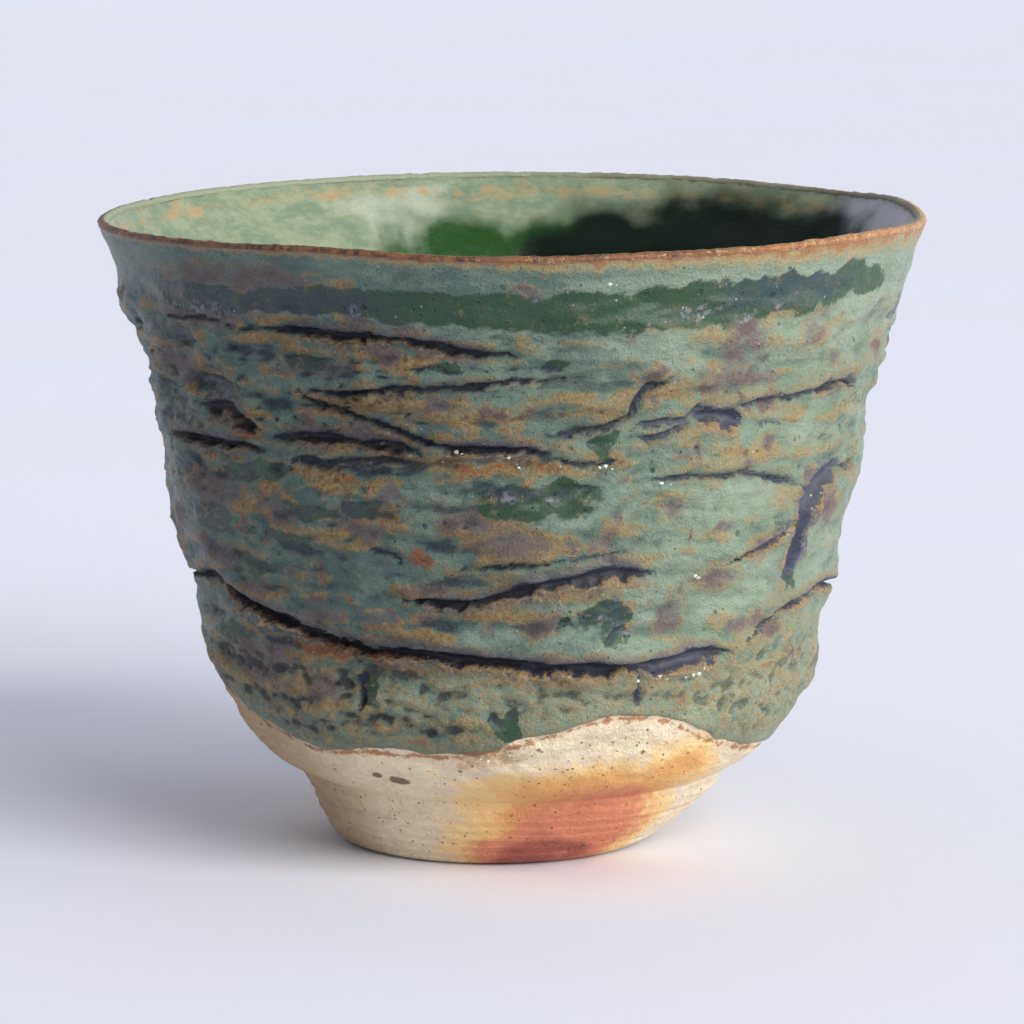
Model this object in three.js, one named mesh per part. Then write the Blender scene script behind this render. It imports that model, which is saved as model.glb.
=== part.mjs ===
// A hand-thrown sake cup: a stoneware bowl on a turned foot ring, with a thick torn glaze outside,
// a thin green glaze inside and a thin brown glaze over the lip.
// Lengths are in millimetres, +Z is up, and the origin is the middle of the foot's flat underside.
// Angles round the cup are in degrees: 0 faces -Y, and they grow towards +X.

import * as THREE from "three";

// Heights
const CUP_HEIGHT = 52.0; // from the table to the top of the lip
const FOOT_HEIGHT = 6.0;
const BELLY_RISE = 3.8; // from the foot to the turn of the belly
const WAIST_RISE = 5.2; // from the belly to the waist, where the wall stands up
const SHOULDER_RISE = 15.0; // from the waist to the shoulder, where the wall is straightest
const NECK_DROP = 13.0; // from the lip down to the neck, where the wall starts to flare
const COLLAR_DROP = 4.5; // from the lip down to the collar

// Outer radii at those heights
const FOOT_TOP_RADIUS = 16.8;
const BELLY_RADIUS = 22.4;
const WAIST_RADIUS = 25.1;
const SHOULDER_RADIUS = 28.7;
const NECK_RADIUS = 29.7;
const COLLAR_RADIUS = 32.4;
const LIP_RADIUS = 34.0;

// Foot ring, from the outside in
const FOOT_TAPER = 3.2; // how much narrower the foot is at the table than at its top
const FOOT_OUTER_BEVEL = 1.1;
const FOOT_LAND = 2.6; // width of the flat ring that stands on the table
const FOOT_INNER_BEVEL = 0.5;
const FOOT_RECESS_DRAFT = 0.8; // how much narrower the recess is at its top than at its mouth

// Layers of the wall
const FLOOR_CLAY = 3.6;
const WALL_CLAY = 2.2;
const COLLAR_CLAY = 1.4;
const LIP_CLAY = 0.6;
const COAT = 1.6; // outer glaze on the wall
const COAT_EDGE = 0.8; // outer glaze at its lower edge
const COAT_EDGE_REACH = 3.0; // height over which that edge thickens to the full coat
const COAT_STEP = 0.4; // how far the lower edge stands proud of the bare clay
const THIN_GLAZE = 0.4; // inner glaze, and the glaze over the lip
const TORN_GLAZE = 0.3; // what is left of the coat at the bottom of a tear
const SEAM = 0.15; // clearance between one layer and the next

// Inside of the bowl
const FLOOR_FLAT_RADIUS = 9.0;
const FLOOR_CORNER_INSET = 4.2; // from the belly to the inside corner
const FLOOR_CORNER_RISE = 3.6;
const INSIDE_WAIST_LIFT = 3.0; // how far the inside waist sits above the outside one

// Lip
const LIP_CROWN = 0.45; // height of the rounded top of the lip
const LIP_BAND = 0.8; // height of the brown band on each side

// Unevenness left by the hand
const LIP_TILT = 0.25;
const LIP_WAVE = 0.2;
const LIP_WAVES = 3; // waves round the lip
const OVAL = 0.15;

// Lower edge of the outer glaze: angle, and height above the foot
const GLAZE_EDGE = [
  [-75, 7.4], [-60, 6.2], [-45, 4.7], [-25, 5.3], [-8, 5.5], [5, 7.0], [20, 8.4], [33, 7.6], [50, 5.0],
  [75, 3.2], [105, 4.0], [145, 7.0], [180, 6.4], [215, 4.6], [250, 6.2],
];

// Folds and dents that the fingers left in the torn coat
const FOLD_HEIGHT = 0.2;
const FOLD_SPACING = 9.0; // height from one fold to the next
const FOLD_BEND = 2.6; // how far a fold rises and falls round the cup
const FOLD_BENDS = 3; // how often it does so
const DENT_DEPTH = 0.2;
const DENT_LEAN = 26.0; // height over which a row of dents leans over by one dent
const DENTS = 11; // dents round the cup

// Widths of the tears in the outer glaze, and how far their upper sides hang over
const LEDGE_WIDTH = 1.8;
const LEDGE_OVERHANG = 0.5;
const TEAR_WIDTH = 1.6;
const TEAR_OVERHANG = 0.2;
const CRACK_WIDTH = 1.4;
const CRACK_OVERHANG = 0.1;
const CHANNEL_WIDTH = 3.4;
const OVERHANG_REACH = 5.0; // distance over which the upper side settles back to the wall
const TEAR_FADE = 1.5; // height under the lip band over which tears die away
const TEAR_BOTTOM = 0.33; // share of a tear's width that lies at its full depth

const LEDGE = { width: LEDGE_WIDTH, overhang: LEDGE_OVERHANG };
const TEAR = { width: TEAR_WIDTH, overhang: TEAR_OVERHANG };
const CRACK = { width: CRACK_WIDTH, overhang: CRACK_OVERHANG };
const CHANNEL = { width: CHANNEL_WIDTH, overhang: 0 };

// Courses of the tears: angle, and height above the waist
const TEARS = [
  { ...LEDGE, course: [[-75, 8.5], [-50, 7.3], [-40, 5.9], [-20, 4.8], [0, 3.8], [38, 4]] },
  { ...LEDGE, course: [[46, 4.8], [58, 6.7], [75, 7.2], [98, 6.2]] },
  { ...LEDGE, course: [[108, 5.6], [135, 4.6], [155, 5.4], [175, 6.8], [195, 7.8]] },
  { ...LEDGE, course: [[206, 7.4], [240, 6.5], [265, 7.6], [280, 8.3]] },
  { ...CRACK, course: [[-17, 9.0], [-5, 9.5], [10, 10.9], [20, 10.7]] },
  { ...TEAR, course: [[-33, 25.0], [-20, 23.0], [-5, 21.2], [7, 21.3]] },
  { ...TEAR, course: [[-64, 22.9], [-50, 23.6], [-38, 21.8], [-25, 21.5], [-13, 20.8]] },
  { ...CRACK, course: [[-66, 20.3], [-44, 20.2], [-28, 19.8]] },
  { ...TEAR, course: [[-45, 30.2], [-22, 30.2], [-8, 29.6], [0, 29.3]] },
  { ...CRACK, course: [[-36, 25.5], [-14, 26.4], [10, 27.2], [22, 26.5]] },
  { ...TEAR, course: [[18, 23.0], [30, 24.0], [45, 24.4], [58, 25.0], [69, 23.8]] },
  { ...TEAR, course: [[22, 19.0], [38, 18.8], [48, 17.8], [56, 16.5], [66, 17.6]] },
  { ...CHANNEL, course: [[57, 16.6], [50, 14.4], [40, 12.6]] },
  { ...TEAR, course: [[84, 19.6], [108, 20.8], [132, 21.8], [158, 20.2]] },
  { ...TEAR, course: [[168, 23.5], [192, 24.6], [214, 23.4], [232, 24.0]] },
  { ...TEAR, course: [[212, 18.6], [236, 19.6], [256, 20.2], [274, 18.8]] },
  { ...CRACK, course: [[100, 12.8], [128, 12.0], [156, 13.4], [178, 13.0]] },
  { ...TEAR, course: [[190, 14.6], [216, 12.9], [242, 12.6]] },
  { ...CRACK, course: [[82, 27.8], [106, 28.6], [130, 27.6]] },
  { ...CRACK, course: [[150, 29.6], [178, 30.3], [206, 29.6], [226, 29.8]] },
  { ...CRACK, course: [[54, 13.4], [57, 11.0], [58, 8.4]] },
  { ...CRACK, course: [[25, 27.0], [18, 24.0], [5, 22.5]] },
  { ...CRACK, course: [[86, 23.0], [96, 22.4], [104, 23.2], [126, 24.1], [150, 24.3]] },
  { ...CRACK, course: [[160, 21.6], [186, 21.3], [198, 20.5]] },
  { ...CRACK, course: [[240, 22.2], [252, 22.9], [278, 23.2]] },
  { ...CRACK, course: [[222, 26.4], [236, 26.9], [262, 26.8]] },
  { ...CRACK, course: [[132, 18.6], [144, 18.0], [170, 17.8]] },
  { ...CHANNEL, course: [[176, 19.6], [184, 17.4], [198, 16.0]] },
];

// Fineness of the surfaces
const COLUMNS = 60;
const BARE_ROWS = 5;
const TORN_ROWS = 46;
const SMOOTH_ROWS = 10;
const INSIDE_ROWS = 10;
const CROWN_ROWS = 3;
const HALVINGS = 30; // steps of the search for a height on a curve

const { clamp, degToRad, lerp, smoothstep } = THREE.MathUtils;

// Heights and radii that follow from the sizes above
const bellyHeight = FOOT_HEIGHT + BELLY_RISE;
const waistHeight = bellyHeight + WAIST_RISE;
const neckHeight = CUP_HEIGHT - NECK_DROP;
const shoulderHeight = waistHeight + SHOULDER_RISE;
const collarHeight = CUP_HEIGHT - COLLAR_DROP;
const crownHeight = CUP_HEIGHT - LIP_CROWN; // where the two faces of the lip start to round over
const bandHeight = crownHeight - LIP_BAND; // lower edge of the brown band
const floorHeight = FOOT_HEIGHT + SEAM + FLOOR_CLAY + SEAM + THIN_GLAZE;

// Outside of the whole cup, from the top of the foot to the lip
const outsideCurve = new THREE.SplineCurve([
  new THREE.Vector2(FOOT_TOP_RADIUS, FOOT_HEIGHT + SEAM),
  new THREE.Vector2(BELLY_RADIUS, bellyHeight),
  new THREE.Vector2(WAIST_RADIUS, waistHeight),
  new THREE.Vector2(SHOULDER_RADIUS, shoulderHeight),
  new THREE.Vector2(NECK_RADIUS, neckHeight),
  new THREE.Vector2(COLLAR_RADIUS, collarHeight),
  new THREE.Vector2(LIP_RADIUS, crownHeight),
]);

// The place where a rising curve reaches a height, as the curve's own parameter from 0 to 1
function placeAtHeight(curve, height) {
  let low = 0;
  let high = 1;
  for (let halving = 0; halving < HALVINGS; halving += 1) {
    const middle = (low + high) / 2;
    if (curve.getPoint(middle).y < height) low = middle;
    else high = middle;
  }
  return (low + high) / 2;
}

// A point of the wall at a height, moved in from the outside by a depth
function outsidePoint(height, depth) {
  const point = outsideCurve.getPoint(placeAtHeight(outsideCurve, height));
  return new THREE.Vector2(point.x - depth, height);
}

// Thickness of the outer glaze at a height, over a lower edge at another height
function coatThickness(height, edgeHeight) {
  const coat = lerp(COAT_EDGE, COAT, smoothstep(height, edgeHeight, edgeHeight + COAT_EDGE_REACH));
  const rise = clamp((height - neckHeight) / (bandHeight - neckHeight), 0, 1);
  return lerp(coat, THIN_GLAZE, rise);
}

function wallThickness(coat, clay) {
  return coat + SEAM + clay + SEAM + THIN_GLAZE;
}

const wall = wallThickness(COAT, WALL_CLAY);
const collarWall = wallThickness(coatThickness(collarHeight, FOOT_HEIGHT), COLLAR_CLAY);
const lipWall = wallThickness(THIN_GLAZE, LIP_CLAY);

// Inside of the bowl, from the middle of the floor to the lip, moved out into the wall by a depth
function insideCurve(depth) {
  const cornerDepth = depth * Math.SQRT1_2;
  return new THREE.SplineCurve([
    new THREE.Vector2(0, floorHeight - depth),
    new THREE.Vector2(FLOOR_FLAT_RADIUS, floorHeight - depth),
    new THREE.Vector2(
      BELLY_RADIUS - FLOOR_CORNER_INSET + cornerDepth,
      floorHeight + FLOOR_CORNER_RISE - cornerDepth,
    ),
    new THREE.Vector2(WAIST_RADIUS - wall + depth, waistHeight + INSIDE_WAIST_LIFT),
    new THREE.Vector2(SHOULDER_RADIUS - wall + depth, shoulderHeight),
    new THREE.Vector2(NECK_RADIUS - wall + depth, neckHeight),
    new THREE.Vector2(COLLAR_RADIUS - collarWall + depth, collarHeight),
    new THREE.Vector2(LIP_RADIUS - lipWall + depth, crownHeight),
  ]);
}

// Points of the inside from the middle of the floor up to a height
function insidePoints(depth, topHeight) {
  const curve = insideCurve(depth);
  const top = placeAtHeight(curve, topHeight);
  return steps(INSIDE_ROWS).map((share) => curve.getPoint(share * top));
}

// Shares from 0 to 1, both ends included
function steps(count) {
  return Array.from({ length: count + 1 }, (_, index) => index / count);
}

// Rounded top of the lip, from its outer to its inner face, moved in by a depth.
// It leans out as the wall does where it starts.
function crownPoints(depth) {
  const height = crownHeight - depth;
  const tangent = outsideCurve.getTangent(1);
  const lean = tangent.x / tangent.y;
  const curve = insideCurve(depth);
  const outer = outsidePoint(height, depth).x;
  const inner = curve.getPoint(placeAtHeight(curve, height)).x;
  return steps(CROWN_ROWS).map((share) => {
    const rise = LIP_CROWN * Math.sin(share * Math.PI);
    const across = (1 - Math.cos(share * Math.PI)) / 2;
    return new THREE.Vector2(lerp(outer, inner, across) + lean * rise, height + rise);
  });
}

// Lower edge of the outer glaze, smoothed through its points and repeated past both ends
const edgeRounds = [-360, 0, 360].flatMap((turn) => GLAZE_EDGE.map(([angle, rise]) => [angle + turn, rise]));
const edgeCurve = new THREE.CubicInterpolant(
  edgeRounds.map(([angle]) => angle),
  edgeRounds.map(([, rise]) => rise),
  1,
);

function glazeEdgeHeight(angle) {
  return FOOT_HEIGHT + edgeCurve.evaluate(angle)[0];
}

// Tears laid flat: distance round the wall against height
function wallPlace(angle, height) {
  return new THREE.Vector3(degToRad(angle) * SHOULDER_RADIUS, height, 0);
}

const tears = TEARS.map(({ width, overhang, course }) => ({
  halfWidth: width / 2,
  overhang,
  middleAngle: (course[0][0] + course.at(-1)[0]) / 2,
  pieces: course.slice(1).map((end, index) => new THREE.Line3(
    wallPlace(course[index][0], waistHeight + course[index][1]),
    wallPlace(end[0], waistHeight + end[1]),
  )),
}));

// How far the folds and dents stand out of the smooth wall, where the coat is thick
function fingered(angle, height) {
  const turn = degToRad(angle);
  const bent = height + FOLD_BEND * Math.sin(FOLD_BENDS * turn);
  const folds = FOLD_HEIGHT * Math.sin((2 * Math.PI * bent) / FOLD_SPACING);
  const dents = DENT_DEPTH * Math.sin(DENTS * turn + (2 * Math.PI * height) / DENT_LEAN);
  return folds + dents;
}

// How far the torn surface lies inside the smooth wall, below zero where it stands out
function tornDepth(angle, height, coat) {
  let opening = 0;
  let overhang = 0;
  for (const tear of tears) {
    const turns = Math.round((tear.middleAngle - angle) / 360);
    const place = wallPlace(angle + 360 * turns, height);
    const nearest = tear.pieces
      .map((piece) => piece.closestPointToPoint(place, true, new THREE.Vector3()))
      .reduce((best, point) => (point.distanceTo(place) < best.distanceTo(place) ? point : best));
    const distance = nearest.distanceTo(place);
    opening = Math.max(opening, 1 - smoothstep(distance, TEAR_BOTTOM * tear.halfWidth, tear.halfWidth));
    const settled = smoothstep(distance, tear.halfWidth, OVERHANG_REACH);
    if (place.y > nearest.y) overhang = Math.max(overhang, tear.overhang * (1 - settled));
  }
  const proud = overhang + (coat / COAT) * fingered(angle, height);
  return opening * Math.max(0, coat - TORN_GLAZE) - proud * (1 - opening);
}

// Hand-made unevenness: nothing at the foot, growing towards the lip
function unevenPoint(angle, point) {
  const turn = degToRad(angle);
  const aboveFoot = clamp((point.y - FOOT_HEIGHT) / (CUP_HEIGHT - FOOT_HEIGHT), 0, 1);
  const aboveNeck = smoothstep(point.y, neckHeight, CUP_HEIGHT);
  const radius = point.x + OVAL * aboveFoot * Math.sin(2 * turn) * (point.x / LIP_RADIUS);
  const lift = LIP_TILT * Math.sin(turn) + LIP_WAVE * Math.sin(LIP_WAVES * turn);
  return new THREE.Vector3(
    radius * Math.sin(turn),
    -radius * Math.cos(turn),
    point.y + lift * aboveNeck,
  );
}

// A mesh turned round the axis whose section may change with the angle
function turnedMesh(name, sectionAt, material) {
  const geometry = new THREE.LatheGeometry(sectionAt(0), COLUMNS);
  const position = geometry.attributes.position;
  for (let column = 0; column <= COLUMNS; column += 1) {
    const angle = ((column % COLUMNS) / COLUMNS) * 360;
    const section = sectionAt(angle);
    section.forEach((point, row) => {
      const place = unevenPoint(angle, point);
      position.setXYZ(column * section.length + row, place.x, place.y, place.z);
    });
  }
  geometry.computeVertexNormals();
  const mesh = new THREE.Mesh(geometry, material);
  mesh.name = name;
  return mesh;
}

// Heights of the rows on the glazed wall, from the glaze's edge to the band
function glazedHeights(edgeHeight, rows) {
  return steps(rows).map((share) => lerp(edgeHeight, bandHeight - SEAM, share));
}

function footRing() {
  const baseRadius = FOOT_TOP_RADIUS - FOOT_TAPER;
  const landOuter = baseRadius - FOOT_OUTER_BEVEL;
  const landInner = landOuter - FOOT_LAND;
  const mouth = landInner - FOOT_INNER_BEVEL;
  const section = [
    new THREE.Vector2(landInner, 0),
    new THREE.Vector2(landOuter, 0),
    new THREE.Vector2(baseRadius, FOOT_OUTER_BEVEL),
    new THREE.Vector2(FOOT_TOP_RADIUS, FOOT_HEIGHT),
    new THREE.Vector2(mouth - FOOT_RECESS_DRAFT, FOOT_HEIGHT),
    new THREE.Vector2(mouth, FOOT_INNER_BEVEL),
    new THREE.Vector2(landInner, 0),
  ];
  const material = new THREE.MeshStandardMaterial({ color: 0xc9a98a, roughness: 0.85 });
  return turnedMesh("foot_ring", () => section, material);
}

function clayBowl() {
  const inside = insidePoints(THIN_GLAZE + SEAM, bandHeight - SEAM).reverse();
  const crown = crownPoints(THIN_GLAZE + SEAM);
  const material = new THREE.MeshStandardMaterial({ color: 0xcdbea0, roughness: 0.9 });
  return turnedMesh("clay_bowl", (angle) => {
    const edgeHeight = glazeEdgeHeight(angle);
    const rabbetHeight = edgeHeight - SEAM;
    const bare = steps(BARE_ROWS).map((share) => (
      outsidePoint(lerp(FOOT_HEIGHT + SEAM, rabbetHeight, share), COAT_STEP)
    ));
    const covered = glazedHeights(edgeHeight, SMOOTH_ROWS).map((height) => (
      outsidePoint(height, coatThickness(height, edgeHeight) + SEAM)
    ));
    return [
      new THREE.Vector2(0, FOOT_HEIGHT + SEAM),
      ...bare,
      outsidePoint(rabbetHeight, COAT_EDGE + SEAM),
      ...covered,
      ...crown,
      ...inside,
    ];
  }, material);
}

function outerGlaze() {
  const material = new THREE.MeshStandardMaterial({ color: 0x6f8a76, roughness: 0.35 });
  return turnedMesh("outer_glaze", (angle) => {
    const edgeHeight = glazeEdgeHeight(angle);
    const torn = glazedHeights(edgeHeight, TORN_ROWS).map((height) => {
      const coat = coatThickness(height, edgeHeight);
      const fade = smoothstep(bandHeight - height, 0, TEAR_FADE);
      return outsidePoint(height, fade * tornDepth(angle, height, coat));
    });
    const backed = glazedHeights(edgeHeight, SMOOTH_ROWS).map((height) => (
      outsidePoint(height, coatThickness(height, edgeHeight))
    ));
    return [...torn, ...backed.reverse(), torn[0]];
  }, material);
}

function innerGlaze() {
  const topHeight = bandHeight - SEAM;
  const section = [
    ...insidePoints(THIN_GLAZE, topHeight),
    ...insidePoints(0, topHeight).reverse(),
  ];
  const material = new THREE.MeshStandardMaterial({ color: 0x8fae8a, roughness: 0.2 });
  return turnedMesh("inner_glaze", () => section, material);
}

function lipGlaze() {
  const innerFoot = insidePoints(0, bandHeight).at(-1);
  const innerBack = insidePoints(THIN_GLAZE, bandHeight).at(-1);
  const section = [
    outsidePoint(bandHeight, 0),
    ...crownPoints(0),
    innerFoot,
    innerBack,
    ...crownPoints(THIN_GLAZE).reverse(),
    outsidePoint(bandHeight, THIN_GLAZE),
    outsidePoint(bandHeight, 0),
  ];
  const material = new THREE.MeshStandardMaterial({ color: 0x82502a, roughness: 0.4 });
  return turnedMesh("lip_glaze", () => section, material);
}

const cup = new THREE.Group();
cup.name = "sake_cup";
cup.add(footRing(), clayBowl(), outerGlaze(), innerGlaze(), lipGlaze());

export default cup;
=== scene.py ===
"""Looks of a hand-thrown sake cup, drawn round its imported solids.

Lengths are in millimetres until a mesh is made. Angles round the cup are in degrees: 0 faces -Y,
and they grow towards +X. Heights are above the table.
"""

import math
from collections import namedtuple
from types import SimpleNamespace

import bmesh
import bpy
import numpy as np
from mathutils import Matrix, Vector, noise


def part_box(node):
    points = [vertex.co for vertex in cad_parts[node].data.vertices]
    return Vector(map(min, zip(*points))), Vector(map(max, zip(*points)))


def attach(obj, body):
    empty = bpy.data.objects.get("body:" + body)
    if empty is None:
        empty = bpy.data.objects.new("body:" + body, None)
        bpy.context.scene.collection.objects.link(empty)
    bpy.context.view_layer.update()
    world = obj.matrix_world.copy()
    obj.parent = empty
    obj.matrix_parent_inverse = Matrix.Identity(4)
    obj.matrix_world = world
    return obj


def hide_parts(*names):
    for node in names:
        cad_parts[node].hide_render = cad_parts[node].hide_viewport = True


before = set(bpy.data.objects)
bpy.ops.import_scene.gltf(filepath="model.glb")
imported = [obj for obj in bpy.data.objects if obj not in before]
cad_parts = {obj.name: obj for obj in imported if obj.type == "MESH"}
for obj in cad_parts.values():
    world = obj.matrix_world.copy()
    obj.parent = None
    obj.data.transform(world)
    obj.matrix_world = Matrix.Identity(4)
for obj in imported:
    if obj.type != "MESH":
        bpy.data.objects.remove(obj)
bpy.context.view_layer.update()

bl_info = {
    "name": "Sake cup",
    "version": (1, 0, 0),
    "blender": (4, 5, 0),
    "location": "3D View > Sidebar > Sake cup",
    "description": "A stoneware sake cup with a torn green glaze",
    "category": "Add Mesh",
}

MM = 0.001  # a millimetre in metres


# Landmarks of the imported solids


def solid_box(node):
    """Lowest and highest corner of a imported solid, in millimetres."""
    low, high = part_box(node)
    return low / MM, high / MM


foot_high = solid_box("foot_ring")[1]
liner_low = solid_box("inner_glaze")[0]
lip_high = solid_box("lip_glaze")[1]

FOOT_TOP = foot_high.z
FOOT_RADIUS = foot_high.x
LIP_TOP = lip_high.z
LIP_RADIUS = lip_high.x
WALL_HEIGHT = LIP_TOP - FOOT_TOP
LINER = 0.4  # thickness of the green glaze inside
FLOOR = liner_low.z + LINER
NECK = FOOT_TOP + 0.72 * WALL_HEIGHT  # above it the wall flares and follows the lip's waves

# Outside of the wall: percent of the way from the foot to the lip, and of the lip's radius
WALL_OUTLINE = [
    (0, 51.0), (2.8, 58.5), (6.1, 63.5), (10.6, 67.9), (15.1, 71.2), (21.6, 73.8), (30.3, 75.9),
    (38.9, 78.5), (47.5, 82.1), (54.0, 84.1), (62.7, 85.7), (71.3, 87.5), (77.8, 90.4), (84.3, 93.2),
    (90.8, 95.6), (95.1, 97.4), (97.2, 98.8), (100, 100),
]

# Foot ring from the land up its outside and into the belly: percent of its radius and of its height
FOOT_OUTLINE = [(70, 0), (75, 4), (79, 11), (83, 22), (91.5, 47), (100.5, 82), (103, 98), (104, 110)]

# Recess under the cup from its roof down to the land: radius and height
RECESS_OUTLINE = [(15.5, 6.6), (8.6, 6.2), (8.9, 3.4), (9.2, 1.0), (9.5, 0.25), (9.9, 0)]

# Inside of the bowl from the middle of the floor to the lip: radius, and height above the floor
INSIDE_OUTLINE = [
    (0, 0.0), (4.5, 0.0), (9, 0.25), (13.5, 1.4), (17.2, 3.6), (19.6, 7.0), (21.3, 11.0), (23.0, 16.0),
    (24.2, 20.5), (24.9, 25.0), (25.7, 29.0), (27.3, 33.0), (29.2, 36.6), (31.0, 39.2), (32.5, 41.1),
    (33.1, 41.9),
]

# Height of the lip round the cup: angle, and how far it stands above or below the solid's lip
LIP_WAVE = [
    (-150, 0.1), (-90, -0.45), (-60, -0.35), (-42, -0.2), (-25, -0.05), (-9, -0.4), (5, -0.45), (18, -0.3),
    (37, -0.2), (55, 0.0), (88, -0.25), (106, 0.25), (122, 0.0), (150, 0.2), (180, 0.3),
]

# Lower edge of the torn glaze: angle and height
GLAZE_EDGE = [
    (-80, 13.8), (-70, 13.2), (-60, 12.0), (-45, 10.3), (-30, 10.8), (-12, 10.9), (-5, 11.3), (5, 12.5),
    (20, 14.0), (30, 13.6), (40, 11.7), (50, 10.4), (60, 9.5), (80, 8.6), (105, 10.0), (145, 13.0),
    (180, 12.4), (215, 10.6), (250, 12.2),
]

# Kinds of tear: width, depth, how far the upper side hangs over, and how proud its two lips stand
Kind = namedtuple("Kind", "width depth overhang lip")
LEDGE = Kind(0.85, 1.3, 0.75, 0.06)
TEAR = Kind(0.62, 1.0, 0.3, 0.06)
CRACK = Kind(0.4, 0.7, 0.2, 0.05)
CREASE = Kind(0.24, 0.35, 0.08, 0.04)
POCKET = Kind(1.25, 0.9, 0.2, 0.06)
CHANNEL = Kind(1.9, 0.85, 0.0, 0.2)

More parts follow.
